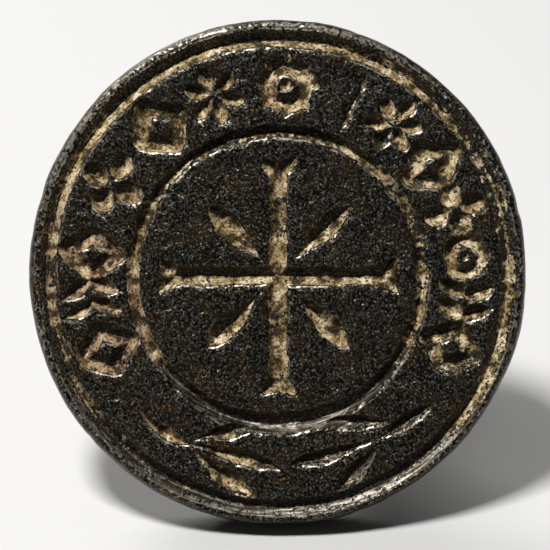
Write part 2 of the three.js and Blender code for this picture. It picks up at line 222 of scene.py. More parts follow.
@dataclass
class Shell:
    """A closed surface of the die's frame: its points, its faces, and numbers carried by the points.

    The seam is the points where a seen surface turns into a hidden wall. The maps give each corner of each
    face its place in a square texture.
    """

    points: Array
    quads: Array
    triangles: Array = field(default_factory=lambda: np.zeros((0, 3), int))
    layers: dict[str, Array] = field(default_factory=dict)
    seam: Array | None = None
    quad_map: Array | None = None
    triangle_map: Array = field(default_factory=lambda: np.zeros((0, 3, 2)))

    def turned_out(self) -> "Shell":
        """The same shell with its faces pointing outwards, told by the sign of the volume they enclose.

        Returns:
            This shell, its faces reversed where they pointed inwards.
        """
        corners = np.vstack([self.quads[:, [0, 1, 2]], self.quads[:, [0, 2, 3]], self.triangles])
        a, b, c = (self.points[corners[:, i]] for i in range(3))
        # the die's frame is left-handed as it is placed, so an outward shell has a negative volume here
        if np.einsum("ij,ij->i", a, np.cross(b, c)).sum() > 0:
            self.quads = self.quads[:, ::-1]
            self.triangles = self.triangles[:, ::-1]
            self.triangle_map = self.triangle_map[:, ::-1]
            if self.quad_map is not None:
                self.quad_map = self.quad_map[:, ::-1]
        return self


def joined(shells: list[Shell]) -> Shell:
    """Several shells as one, each keeping its own points.

    Args:
        shells: closed shells, which may overlap.

    Returns:
        One shell with all their points and faces.
    """
    starts = np.cumsum([0] + [len(s.points) for s in shells[:-1]])
    return Shell(
        np.vstack([s.points for s in shells]),
        np.vstack([s.quads + start for s, start in zip(shells, starts)]),
        np.vstack([s.triangles + start for s, start in zip(shells, starts)]),
    )


def with_hidden(layers: dict[str, Array], count: int) -> dict[str, Array]:
    """The numbers of a seen surface, with a zero added for each of so many hidden points."""
    return {name: np.concatenate([values, np.zeros(count)]) for name, values in layers.items()}


def grid_quads(rows: int, columns: int, round_rows: bool = False, round_columns: bool = True) -> Array:
    """The faces of a grid of points numbered row by row.

    Args:
        rows: number of rows.
        columns: number of points in a row.
        round_rows: whether the last row is joined to the first.
        round_columns: whether the last column is joined to the first.

    Returns:
        Four point numbers for each face.
    """
    row = np.arange(rows if round_rows else rows - 1)[:, None]
    column = np.arange(columns if round_columns else columns - 1)[None, :]
    next_row, next_column = (row + 1) % rows, (column + 1) % columns
    corners = [
        row * columns + column,
        row * columns + next_column,
        next_row * columns + next_column,
        next_row * columns + column,
    ]
    return np.stack([c.ravel() for c in corners], axis=1)


def fan(ring: Array, middle: int) -> Array:
    """Triangles that close a ring of points on a middle point."""
    return np.stack([ring, np.roll(ring, -1), np.full(len(ring), middle)], axis=1)


def capped_rows(rows: Array) -> Shell:
    """Closes a stack of rings with a point in the middle of the first and of the last.

    Args:
        rows: the rings, as rows by columns by three coordinates.

    Returns:
        A closed shell.
    """
    count, columns = rows.shape[:2]
    points = rows.reshape(-1, 3)
    ends = np.array([rows[0].mean(axis=0), rows[-1].mean(axis=0)])
    first = np.arange(columns)
    last = first + (count - 1) * columns
    triangles = np.vstack([fan(first[::-1], len(points)), fan(last, len(points) + 1)])
    return Shell(np.vstack([points, ends]), grid_quads(count, columns), triangles)


def ring_shell(grid: Array) -> Shell:
    """A shell from a grid that is closed both ways."""
    rows, columns = grid.shape[:2]
    return Shell(grid.reshape(-1, 3), grid_quads(rows, columns, round_rows=True)).turned_out()


def linked(name: str, data: bpy.types.ID) -> bpy.types.Object:
    """Puts a mesh, a lamp or a camera into the scene.

    Args:
        name: name of its object.
        data: the mesh, lamp or camera.

    Returns:
        Its object.
    """
    thing = bpy.data.objects.new(name, data)
    bpy.context.scene.collection.objects.link(thing)
    return thing


def mesh_object(name: str, shell: Shell, die: DieFrame) -> bpy.types.Object:
    """Puts a shell into a mesh object at the origin, with its numbers as attributes of the points.

    Args:
        name: name of the piece.
        shell: a closed shell in the die's frame.
        die: where the die lies.

    Returns:
        The object, smooth all over but for the shell's seam.
    """
    shell.turned_out()
    mesh = bpy.data.meshes.new(name)
    mesh.vertices.add(len(shell.points))
    mesh.vertices.foreach_set("co", die.place(shell.points).astype(np.float32).ravel())
    loops = np.concatenate([shell.quads.ravel(), shell.triangles.ravel()])
    starts = np.concatenate([
        np.arange(len(shell.quads)) * 4,
        shell.quads.size + np.arange(len(shell.triangles)) * 3,
    ])
    mesh.loops.add(len(loops))
    mesh.loops.foreach_set("vertex_index", loops.astype(np.int32))
    mesh.polygons.add(len(starts))
    mesh.polygons.foreach_set("loop_start", starts.astype(np.int32))
    mesh.polygons.foreach_set("use_smooth", np.ones(len(starts), bool))
    mesh.update(calc_edges=True)
    if shell.quad_map is not None:
        places = np.concatenate([shell.quad_map.ravel(), shell.triangle_map.ravel()])
        mesh.uv_layers.new(name="OFBake").uv.foreach_set("vector", places.astype(np.float32))
    if shell.seam is not None:
        ends = np.empty(len(mesh.edges) * 2, np.int32)
        mesh.edges.foreach_get("vertices", ends)
        on_seam = np.zeros(len(shell.points), bool)
        on_seam[shell.seam] = True
        mesh.edges.foreach_set("use_edge_sharp", on_seam[ends.reshape(-1, 2)].all(axis=1))
    for layer, values in shell.layers.items():
        attribute = mesh.attributes.new(layer, "FLOAT", "POINT")
        attribute.data.foreach_set("value", values.astype(np.float32))
    mesh.validate()
    return linked(name, mesh)


def finished(piece: bpy.types.Object, material: bpy.types.Material, body: str, slot: str,
             *stands_for: str) -> None:
    """Dresses a piece, ties it to its body and hides the CAD nodes that it stands for.

    Args:
        piece: the piece.
        material: its finish.
        body: the body it moves with.
        slot: the record's material slot; not used.
        stands_for: CAD nodes that it replaces.
    """
    piece.data.materials.append(material)
    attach(piece, body)
    if stands_for:
        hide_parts(*stands_for)
    log.info("%s: %d faces, on %s", piece.name, len(piece.data.polygons), body)


# Finishes

class Speckle(NamedTuple):
    """A noise of a finish: the size of its blotches in millimetres, its finer layers and their strength.

    The shift moves it, so that two noises of one size differ.
    """

    cell: float
    layers: float = 2.0
    strength: float = 0.55
    shift: float = 0.0


class NodeBench:
    """Lays out nodes in one tree."""

    def __init__(self, tree: bpy.types.NodeTree) -> None:
        """Takes the tree to work in."""
        self.tree = tree

    def new(self, kind: str, **settings: str) -> bpy.types.Node:
        """Adds a shader node.

        Args:
            kind: its type, such as Math.
            settings: its settings, such as its operation.

        Returns:
            The node.
        """
        node = self.tree.nodes.new(f"ShaderNode{kind}")
        for name, value in settings.items():
            setattr(node, name, value)
        return node

    def feed(self, socket: Socket, value: Fed) -> None:
        """Links a socket to an output, or sets it to a colour, a direction or a number.

        Args:
            socket: the input.
            value: what it gets.
        """
        if isinstance(value, Socket):
            self.tree.links.new(value, socket)
        elif isinstance(value, tuple):
            socket.default_value = (*value, 1.0)
        else:
            socket.default_value = value

    def maths(self, operation: str, one: Fed, other: Fed) -> Socket:
        """Adds a Math node.

        Args:
            operation: what it works out.
            one: its first value.
            other: its second value.

        Returns:
            Its result.
        """
        node = self.new("Math", operation=operation)
        self.feed(node.inputs[0], one)
        self.feed(node.inputs[1], other)
        return node.outputs[0]

    def plus(self, *values: Fed) -> Socket:
        """All the values added up."""
        return reduce(lambda one, other: self.maths("ADD", one, other), values)

    def times(self, *values: Fed) -> Socket:
        """All the values multiplied."""
        return reduce(lambda one, other: self.maths("MULTIPLY", one, other), values)

    def less(self, value: Fed) -> Socket:
        """One less the value."""
        return self.maths("SUBTRACT", 1.0, value)

    def vector(self, operation: str, *vectors: Fed) -> bpy.types.Node:
        """Adds a Vector Math node.

        Args:
            operation: what it works out.
            vectors: its one or two vectors.

        Returns:
            The node.
        """
        node = self.new("VectorMath", operation=operation)
        for socket, value in zip(node.inputs, vectors):
            self.feed(socket, value)
        return node

    def between(self, value: Socket, low: float, high: float, start: float = 0.0,
                end: float = 1.0) -> Socket:
        """Goes smoothly from one number to another.

        Args:
            value: what it depends on.
            low: the value up to which it stays at start.
            high: the value from which it stays at end.
            start: the first number.
            end: the second number.

        Returns:
            The number for the value.
        """
        node = self.new("MapRange", interpolation_type="SMOOTHSTEP")
        self.feed(node.inputs["Value"], value)
        for socket, number in zip(("From Min", "From Max", "To Min", "To Max"), (low, high, start, end)):
            node.inputs[socket].default_value = number
        return node.outputs["Result"]

    def mixed(self, share: Fed, one: Fed, other: Fed) -> Socket:
        """Mixes two colours: the first times one less the share, plus the second times the share.

        Args:
            share: how much of the second, from 0 to 1.
            one: the first colour.
            other: the second colour.

        Returns:
            The mixed colour.
        """
        node = self.new("Mix", data_type="RGBA")
        for socket, value in zip((0, 6, 7), (share, one, other)):
            self.feed(node.inputs[socket], value)
        return node.outputs[2]

    def blended(self, share: Fed, one: Fed, other: Fed) -> Socket:
        """Mixes two numbers, in the same way as two colours.

        Args:
            share: how much of the second, from 0 to 1.
            one: the first number.
            other: the second number.

        Returns:
            The mixed number.
        """
        node = self.new("Mix")
        for socket, value in zip((0, 2, 3), (share, one, other)):
            self.feed(node.inputs[socket], value)
        return node.outputs[0]

    def seen(self) -> Socket:
        """Tells the rays that show the background: the camera's own, mirrored and transmitted ones.

        Returns:
            1 for these rays and 0 for others.
        """
        path = self.new("LightPath")
        kinds = ("Is Camera Ray", "Is Glossy Ray", "Is Transmission Ray")
        rays = (path.outputs[kind] for kind in kinds)
        return reduce(lambda one, other: self.maths("MAXIMUM", one, other), rays)


class FinishBench(NodeBench):
    """Lays out the nodes of one material, with sizes given in millimetres."""

    def __init__(self, name: str) -> None:
        """Starts an empty material with its output and a Principled shader.

        Args:
            name: its name.
        """
        self.material = bpy.data.materials.new(name)
        self.material.use_nodes = True
        super().__init__(self.material.node_tree)
        self.tree.nodes.clear()
        self.shader = self.new("BsdfPrincipled")
        self.feed(self.new("OutputMaterial").inputs[0], self.shader.outputs[0])
        scaled = self.vector("SCALE", self.new("TexCoord").outputs["Object"])
        scaled.inputs["Scale"].default_value = 1 / MILLIMETRE
        self.millimetres = scaled.outputs[0]

    def texture(self, place: Socket, speckle: Speckle) -> Socket:
        """A noise texture.

        Args:
            place: the places that it is worked out for, in millimetres.
            speckle: its sizes.

        Returns:
            Its value, from 0 to 1.
        """
        node = self.new("TexNoise")
        numbers = (1 / speckle.cell, speckle.layers, speckle.strength)
        for name, number in zip(("Scale", "Detail", "Roughness"), numbers):
            node.inputs[name].default_value = number
        self.feed(node.inputs["Vector"], place)
        return node.outputs["Fac"]

    def noise(self, speckle: Speckle) -> Socket:
        """A noise of the places on the object, from 0 to 1."""
        shift = Vector((speckle.shift, speckle.shift * 0.7, -speckle.shift))
        return self.texture(self.vector("ADD", self.millimetres, shift).outputs[0], speckle)

    def turned(self, die: DieFrame, across: float, along: float) -> Socket:
        """A noise drawn out along circles about the die's axis, like marks of turning.

        Args:
            die: where the die lies.
            across: width of its lines, in millimetres.
            along: their length.

        Returns:
            Its value, from 0 to 1.
        """
        place = self.vector("SUBTRACT", self.millimetres, die.centre / MILLIMETRE).outputs[0]
        arm = self.vector("CROSS_PRODUCT", place, die.inward).outputs[0]
        split, drawn = self.new("SeparateXYZ"), self.new("CombineXYZ")
        self.feed(split.inputs[0], place)
        self.feed(drawn.inputs[0], self.times(self.vector("LENGTH", arm).outputs["Value"], 1 / across))
        self.feed(drawn.inputs[1], self.times(split.outputs[0], 1 / along))
        self.feed(drawn.inputs[2], self.times(split.outputs[2], 1 / along))
        return self.texture(drawn.outputs[0], Speckle(1.0, 3.0, 0.5))

    def patched(self, colour: Fed, other: Fed, speckle: Speckle, span: Span, most: float = 1.0) -> Socket:
        """A colour with patches of another, which comes in over a span of a noise's values."""
        return self.mixed(self.between(self.noise(speckle), *span, 0, most), colour, other)

    def carried(self, name: str) -> Socket:
        """A number that the points of the mesh carry."""
        return self.new("Attribute", attribute_name=name).outputs["Fac"]

    def frayed(self, name: str, noise: Socket, spread: Span, edge: Span) -> Socket:
        """A carried number, frayed by a noise of 0.3 either way, then raised from 0 to 1 over an edge."""
        return self.between(self.plus(self.carried(name), self.between(noise, *spread, -0.3, 0.3)), *edge)

    def shade(self, inputs: dict[str, Fed]) -> None:
        """Feeds the shader's inputs by their names."""
        for name, value in inputs.items():
            self.feed(self.shader.inputs[name], value)

    def bumped(self, height: Socket, millimetres: float) -> None:
        """Lets the surface stand out.

        Args:
            height: from 0 to 1.
            millimetres: how far a height of 1 stands out.
        """
        node = self.new("Bump")
        node.inputs["Strength"].default_value = 1.0
        node.inputs["Distance"].default_value = millimetres * MILLIMETRE
        self.feed(node.inputs["Height"], height)
        self.feed(self.shader.inputs["Normal"], node.outputs[0])


@dataclass(frozen=True)
class DarkPatina:
    """Near-black bronze with a fine sparkling grain and specks of painted glint, earth in its cuts and bare
    metal on worn edges.

    It reads what the pieces of the plate carry. Earth and clod lay earth in the cuts, and blush reddens it.
    The earth is missing from the walls turned from the key lamp, which stay dark as painted shade, and it is
    dark in its pits and creamy on its crests, painted shade and highlight. Wear bares metal, and on the lips
    and the rim's crest towards the key lamp it is partly a painted highlight. Rust strews specks, calm makes
    the back plainer, and deep is 1 within the cuts, where it dulls the patina as painted shade.
    """

    name: str = "dark_patina"
    black: Colour = (0.006, 0.0055, 0.004)
    grey: Colour = (0.072, 0.068, 0.058)
    brown: Colour = (0.036, 0.024, 0.011)
    glint_grey: Colour = (0.28, 0.265, 0.225)
    rust: Colour = (0.24, 0.105, 0.028)
    metal: Colour = (0.275, 0.245, 0.2)
    scraped: Colour = (0.34, 0.31, 0.26)
    tarnish: Colour = (0.05, 0.04, 0.027)
    ochre: Colour = (0.185, 0.113, 0.038)
    tan: Colour = (0.47, 0.335, 0.17)
    blush: Colour = (0.34, 0.218, 0.135)
    # soil darkens the pits of the earth and cream lights the crests of its lumps: painted shade and painted
    # highlight
    soil: Colour = (0.022, 0.014, 0.006)
    cream: Colour = (0.72, 0.59, 0.385)
    olive: Colour = (0.32, 0.25, 0.1)
    ash: Colour = (0.4, 0.335, 0.235)
    grain: Speckle = Speckle(0.18, 3, 0.6)
    fine_grain: Speckle = Speckle(0.07, 1, 0.5, 5)
    brown_patches: Speckle = Speckle(1.6, 3, 0.6, 11)
    glint_specks: Speckle = Speckle(0.12, 1, 0.5, 23)
    rust_flecks: Speckle = Speckle(0.16, 1, 0.5, 37)
    rust_patches: Speckle = Speckle(1.1, 2, 0.5, 41)
    clumps: Speckle = Speckle(0.17, 3, 0.75, 53)
    crumbling: Speckle = Speckle(0.42, 3, 0.7, 57)
    tan_patches: Speckle = Speckle(0.7, 3, 0.7, 61)
    olive_patches: Speckle = Speckle(1.9, 2, 0.5, 67)
    ash_patches: Speckle = Speckle(0.3, 2, 0.7, 71)
    lumps: Speckle = Speckle(0.36, 2, 0.5, 83)
    stripe_width: float = 0.13
    stripe_length: float = 2.2
    relief: float = 0.1
    specular: float = 0.12

    def ground(self, bench: FinishBench, grain: Socket, calm: Socket, lively: Socket) -> Socket:
        """The patina: black in a grey grain, brown in patches, with specks of painted glint and specks of
        rust.

        Args:
            bench: where its nodes are laid out.
            grain: the grain.
            calm: how plain it is.
            lively: how strong its painted glints and its specks of rust are.

        Returns:
            Its colour.
        """
        colour = bench.mixed(bench.between(grain, 0.45, 0.68), self.black, self.grey)
        colour = bench.patched(colour, self.brown, self.brown_patches, (0.45, 0.72), 0.7)
        # light grey specks in the colour that stand for glints: painted glints
        glint_specks = bench.between(bench.noise(self.glint_specks), 0.57, 0.69)
        colour = bench.mixed(bench.times(glint_specks, lively, 0.5), colour, self.glint_grey)
        colour = bench.mixed(bench.times(calm, 0.55), colour, self.brown)
        flecks = bench.between(bench.noise(self.rust_flecks), 0.6, 0.68)
        patches = bench.between(bench.noise(self.rust_patches), 0.45, 0.7)
        rusty = bench.times(flecks, patches, bench.carried("rust"), lively)
        return bench.mixed(rusty, colour, self.rust)

    def earth(self, bench: FinishBench, clumps: Socket) -> Socket:
        """The earth: ochre to tan, olive and ashen in patches, dark in its pits and creamy on its crests,
        painted shade and painted highlight.

        Args:
            bench: where its nodes are laid out.
            clumps: the lumps of the earth.

        Returns:
            Its colour.
        """
        colour = bench.patched(self.ochre, self.tan, self.tan_patches, (0.38, 0.62))
        colour = bench.patched(colour, self.olive, self.olive_patches, (0.5, 0.66), 0.7)
        colour = bench.patched(colour, self.ash, self.ash_patches, (0.52, 0.66), 0.7)
        blush = bench.carried("blush")
        colour = bench.mixed(blush, colour, self.blush)
        # the lumps are dark in their pits and creamy on their crests: painted shade and painted highlight
        clod = bench.plus(bench.carried("clod"), bench.between(clumps, 0.3, 0.7, -0.16, 0.16))
        colour = bench.mixed(bench.between(clod, 0.2, 0.5, 0.92, 0), colour, self.soil)
        crests = bench.between(clod, 0.58, 0.85, 0, 0.85)
        creamy = bench.times(crests, bench.between(blush, 0.0, 1.0, 1.0, 0.3))
        colour = bench.mixed(creamy, colour, self.cream)
        # dark where the fine lumps sink: painted shade
        return bench.mixed(bench.between(clumps, 0.36, 0.5, 0.75, 0), colour, self.soil)

    def material(self, die: DieFrame) -> bpy.types.Material:
        """Builds the finish: patina, worn metal over it where it is rubbed, and earth over both.

        Args:
            die: where the die lies, for the marks of turning.

        Returns:
            The material.
        """
        bench = FinishBench(self.name)
        grain, fine, clumps = (bench.noise(s) for s in (self.grain, self.fine_grain, self.clumps))
        stripes = bench.turned(die, self.stripe_width, self.stripe_length)
        deep, calm = bench.carried("deep"), bench.carried("calm")
        lively = bench.less(bench.times(calm, 0.75))
        # the carried wear; on the lips and the rim's crest towards the key lamp it is partly a painted
        # highlight
        worn = bench.frayed("wear", grain, (0.34, 0.66), (0.3, 0.7))
        crumbling = bench.between(bench.noise(self.crumbling), 0.36, 0.64, 0.0, 0.64)
        broken = bench.plus(bench.between(clumps, 0.36, 0.64, 0.16, 1.0), crumbling)
        # the carried earth, which is missing from the walls turned from the key lamp so that they stay dark:
        # painted shade
        dirt = bench.between(bench.times(bench.carried("earth"), broken), 0.33, 0.53)

        # the metal is bright on the crests, and in the cuts it is striped by the tool and half tarnished
        striped = bench.mixed(bench.between(stripes, 0.4, 0.64), self.tarnish, self.scraped)
        bare = bench.mixed(deep, self.metal, striped)
        colour = bench.mixed(bench.times(worn, 0.9), self.ground(bench, grain, calm, lively), bare)
        worn_rough = bench.between(deep, 0.0, 1.0, 0.34, 0.46)
        rough = bench.blended(worn, bench.between(fine, 0.3, 0.7, 0.28, 0.42), worn_rough)
        # within the cuts the patina is less metallic and reflects less, so that the cuts read darker: painted
        # shade
        metal = bench.blended(worn, bench.between(deep, 0.0, 1.0, 0.85, 0.3), 0.9)
        bench.shade({
            "Base Color": bench.mixed(dirt, colour, self.earth(bench, clumps)),
            "Roughness": bench.blended(dirt, rough, 0.86),
            "Metallic": bench.blended(dirt, metal, 0.0),
            "Specular IOR Level": self.specular,
        })

        # the grain is rubbed flat where the metal is worn, which then shows the tool's stripes
        lumps = bench.times(bench.noise(self.lumps), 0.45)
        height = bench.plus(bench.times(grain, 0.46), bench.times(fine, 0.2), lumps)
        polished = bench.times(worn, bench.between(deep, 0.0, 1.0, 0.65, 0.3))
        height = bench.times(height, bench.less(polished), lively)
        lined = bench.times(stripes, worn, deep, 0.45)
        bench.bumped(bench.plus(height, lined, bench.times(clumps, dirt, 0.85)), self.relief)
        return bench.material


@dataclass(frozen=True)
class WornBronze:
    """Brown bronze patina, rubbed to bare metal on the edges and dusty with soil in the hollows."""

    name: str
    dark: Colour = (0.03, 0.021, 0.013)
    brown: Colour = (0.085, 0.052, 0.026)
    bare: Colour = (0.42, 0.27, 0.13)
    soil: Colour = (0.19, 0.13, 0.07)
    grain: Speckle = Speckle(0.16, 2, 0.6)
    brown_patches: Speckle = Speckle(1.9, 3, 0.6, 7)
    rubbing: Speckle = Speckle(0.5, 3, 0.6, 19)
    dust: Speckle = Speckle(0.3, 2, 0.6, 29)
    polish: float = 0.34
    relief: float = 0.03
    specular: float = 0.4

    def material(self) -> bpy.types.Material:
        """Builds the finish from the numbers that the casting carries: wear and hollow.

        Returns:
            The material.
        """
        bench = FinishBench(self.name)
        grain, broad = bench.noise(self.grain), bench.noise(self.brown_patches)
        worn = bench.frayed("wear", bench.noise(self.rubbing), (0.3, 0.7), (0.4, 0.85))
        dirt = bench.frayed("hollow", bench.noise(self.dust), (0.3, 0.7), (0.45, 0.8))
        colour = bench.mixed(bench.between(broad, 0.35, 0.68), self.dark, self.brown)
        colour = bench.mixed(bench.between(grain, 0.45, 0.75, 0, 0.4), colour, self.soil)
        colour = bench.mixed(worn, colour, self.bare)
        rough = bench.between(grain, 0.3, 0.7, self.polish + 0.06, self.polish + 0.22)
        bench.shade({
            "Base Color": bench.mixed(dirt, colour, self.soil),
            "Roughness": bench.blended(dirt, bench.blended(worn, rough, self.polish), 0.85),
            "Metallic": bench.blended(dirt, bench.blended(worn, 0.45, 1.0), 0.0),
            "Specular IOR Level": self.specular,
        })
        bench.bumped(bench.plus(bench.times(grain, 0.5), bench.times(broad, 0.4)), self.relief)
        return bench.material


@dataclass(frozen=True)
class PaleFloor:
    """A plain pale floor that fades into the horizon.

    Rays that carry its light on to the object find it darker, as in a black studio.
    """

    name: str = "pale_floor"
    pale: Colour = (0.5, 0.495, 0.485)
    cloud: Colour = (0.45, 0.45, 0.45)
    bounce: Colour = (0.08, 0.08, 0.08)
    horizon: Colour = (0.6, 0.6, 0.6)
    black: Colour = (0.0, 0.0, 0.0)
    clouding: Speckle = Speckle(60.0)
    fades_from: float = 70.0
    fades_to: float = 420.0
    rough: float = 0.9

    def material(self) -> bpy.types.Material:
        """Builds the floor's finish, pale to the camera and to mirrored and transmitted rays.

        Returns:
            The material.
        """
        bench = FinishBench(self.name)
        seen = bench.seen()
        clouded = bench.patched(self.pale, self.cloud, self.clouding, (0.3, 0.7), 0.04)
        away = bench.vector("LENGTH", bench.millimetres).outputs["Value"]
        far = bench.between(away, self.fades_from, self.fades_to)
        near = bench.mixed(seen, self.bounce, clouded)
        bench.shade({
            "Base Color": bench.mixed(far, near, self.black),
            "Emission Color": self.horizon,
            "Emission Strength": bench.times(far, seen),
            "Roughness": self.rough,
            "Specular IOR Level": 0.0,
        })
        return bench.material


# The engraving

@dataclass(frozen=True)
class Stroke:
    """One cut of the graver: points along the middle of the cut, and half its width at each."""

    points: Array
    halves: Array

    @classmethod
    def bar(cls, start: Array, end: Array, width: float, point: float) -> "Stroke":
        """A straight cut of even width, pointed at both ends.

        Args:
            start: its first tip.
            end: its second tip.
            width: its width.
            point: length of each point, at most 0.45 of the cut's.

        Returns:
            The stroke.
        """
        share = min(0.45, point / float(np.linalg.norm(end - start)))
        along = np.array([0, share, 1 - share, 1])
        return cls(start + along[:, None] * (end - start), np.array([0, 1, 1, 0]) * width / 2)

    @classmethod
    def leaf(cls, start: Array, end: Array, widest: float, widest_at: float = 0.5,
             via: Array | None = None) -> "Stroke":
        """A leaf on a parabola: its width is the widest times the sine of half a turn times t to a power.

        Args:
            start: its first tip.
            end: its second tip.
            widest: its greatest width.
            widest_at: the share of its length where it is widest.
            via: a point that it passes half-way along.

        Returns:
            The stroke.
        """
        middle = (start + end) / 2 if via is None else via
        control = 2 * middle - (start + end) / 2
        t = np.linspace(0, 1, 21)[:, None]
        points = (1 - t) ** 2 * start + 2 * t * (1 - t) * control + t ** 2 * end
        power = math.log(0.5) / math.log(widest_at)
        return cls(points, widest / 2 * np.sin(np.pi * t[:, 0] ** power))

    @classmethod
    def wedge(cls, start: Array, end: Array, width: float) -> "Stroke":
        """A cut that is blunt where it starts and runs out in a point."""
        along = np.array([0, 0.35, 0.7, 1])
        return cls(start + along[:, None] * (end - start), np.array([1, 0.9, 0.5, 0]) * width / 2)

    @classmethod
    def arc(cls, centre: Array, radius: float, degrees: Span, widest: float, fullness: float) -> "Stroke":
        """A cut along an arc. Its width is the widest times the sine of half a turn, to the fullness.

        Args:
            centre: the middle of the arc's circle.
            radius: the radius of that circle.
            degrees: where the cut starts and where it ends.
            widest: its greatest width.
            fullness: a power, which keeps the cut wide for longer where it is less than 1.

        Returns:
            The stroke.
        """
        t = np.linspace(0, 1, 61)
        turn = np.radians(degrees[0] + (degrees[1] - degrees[0]) * t)
        return cls(centre + radius * directions(turn), widest / 2 * np.sin(np.pi * t).clip(0) ** fullness)

    def deepen(self, at: Array, depth: Array, slope: float, margin: float) -> None:
        """Lowers a sheet of depths to this cut: slope times half the width less the distance.

        Args:
            at: the places, one row each.
            depth: the depths so far, which are changed. Outside every cut they are below nothing.
            slope: depth for each millimetre of half width.
            margin: how far outside the cut it is still worked out, in millimetres.
        """
        reach = self.halves.max() + margin
        low, high = self.points.min(axis=0) - reach, self.points.max(axis=0) + reach
        near = np.flatnonzero(((at > low) & (at < high)).all(axis=1))
        if not len(near):
            return
        place = at[near][:, None, :]
        start, run = self.points[:-1][None], np.diff(self.points, axis=0)[None]
        share = share_of(((place - start) * run).sum(axis=2) / (run ** 2).sum(axis=2))
        away = np.linalg.norm(place - start - share[..., None] * run, axis=2)
        half = self.halves[:-1] + share * np.diff(self.halves)
        depth[near] = np.maximum(depth[near], (slope * (half - away)).max(axis=1))


@dataclass(frozen=True)
class Ring:
    """A cut round a circle."""

    centre: Array
    radius: float
    width: float

    def deepen(self, at: Array, depth: Array, slope: float, margin: float) -> None:
        """Lowers a sheet of depths to this cut, as a stroke does, with the distance from the circle."""
        away = np.abs(np.hypot(*(at - self.centre).T) - self.radius)
        np.maximum(depth, slope * (self.width / 2 - away), out=depth, where=away < self.width / 2 + margin)


Cuts = list[Union[Stroke, Ring]]


class Ornament(Enum):
    """The ornaments of the legend band."""

    LOZENGE = "lozenge"
    CHEVRONS = "chevrons"
    QUATREFOIL = "quatrefoil"
    STAR = "star"
    ANNULET = "annulet"
    SUN = "sun"
    DIVIDER = "divider"


class Mark(NamedTuple):
    """One ornament: where it stands, in degrees counter-clockwise from the right, and its width."""

    degrees: float
    ornament: Ornament
    width: float


MARKS = (
    Mark(204, Ornament.LOZENGE, 2.8),
    Mark(188, Ornament.CHEVRONS, 2.3),
    Mark(174, Ornament.LOZENGE, 2.7),
    Mark(152, Ornament.QUATREFOIL, 3.7),
    Mark(129, Ornament.LOZENGE, 3.3),
    Mark(110, Ornament.STAR, 3.3),
    Mark(87.5, Ornament.SUN, 3.9),
    Mark(66, Ornament.DIVIDER, 1.0),
    Mark(52, Ornament.STAR, 3.1),
    Mark(35, Ornament.LOZENGE, 2.7),
    Mark(19.5, Ornament.QUATREFOIL, 2.8),
    Mark(5, Ornament.ANNULET, 2.6),
    Mark(-8.5, Ornament.CHEVRONS, 2.2),
    Mark(-23.5, Ornament.LOZENGE, 2.8),
)


class SprigLeaf(NamedTuple):
    """A leaf of a sprig: its two ends and its middle, its greatest width, and the share of its length there.

    Each point is an angle in degrees and a place across the band, from 0 at its inner side to 1.
    """

    start: Span
    end: Span
    middle: Span
    widest: float
    widest_at: float


SPRIG_LEAVES = (
    SprigLeaf((224.8, 0.66), (243.3, 0.62), (234.8, 0.66), 0.8, 0.5),
    SprigLeaf((242.8, 0.62), (270.6, 0.66), (255.4, 0.54), 1.1, 0.66),
    SprigLeaf((243, 0.64), (264.6, 1.1), (253, 0.84), 1.25, 0.66),
    SprigLeaf((243.4, 0.54), (264, 0.04), (253, 0.22), 1.0, 0.55),
    SprigLeaf((319.6, 0.78), (302.1, 0.65), (310.9, 0.67), 0.8, 0.5),
    SprigLeaf((303, 0.64), (273.6, 0.59), (287, 0.56), 1.02, 0.66),
    SprigLeaf((299.4, 0.74), (284.6, 1.14), (292, 0.9), 1.0, 0.6),
    SprigLeaf((306.6, 0.56), (281, 0.04), (294, 0.18), 1.0, 0.5),
)


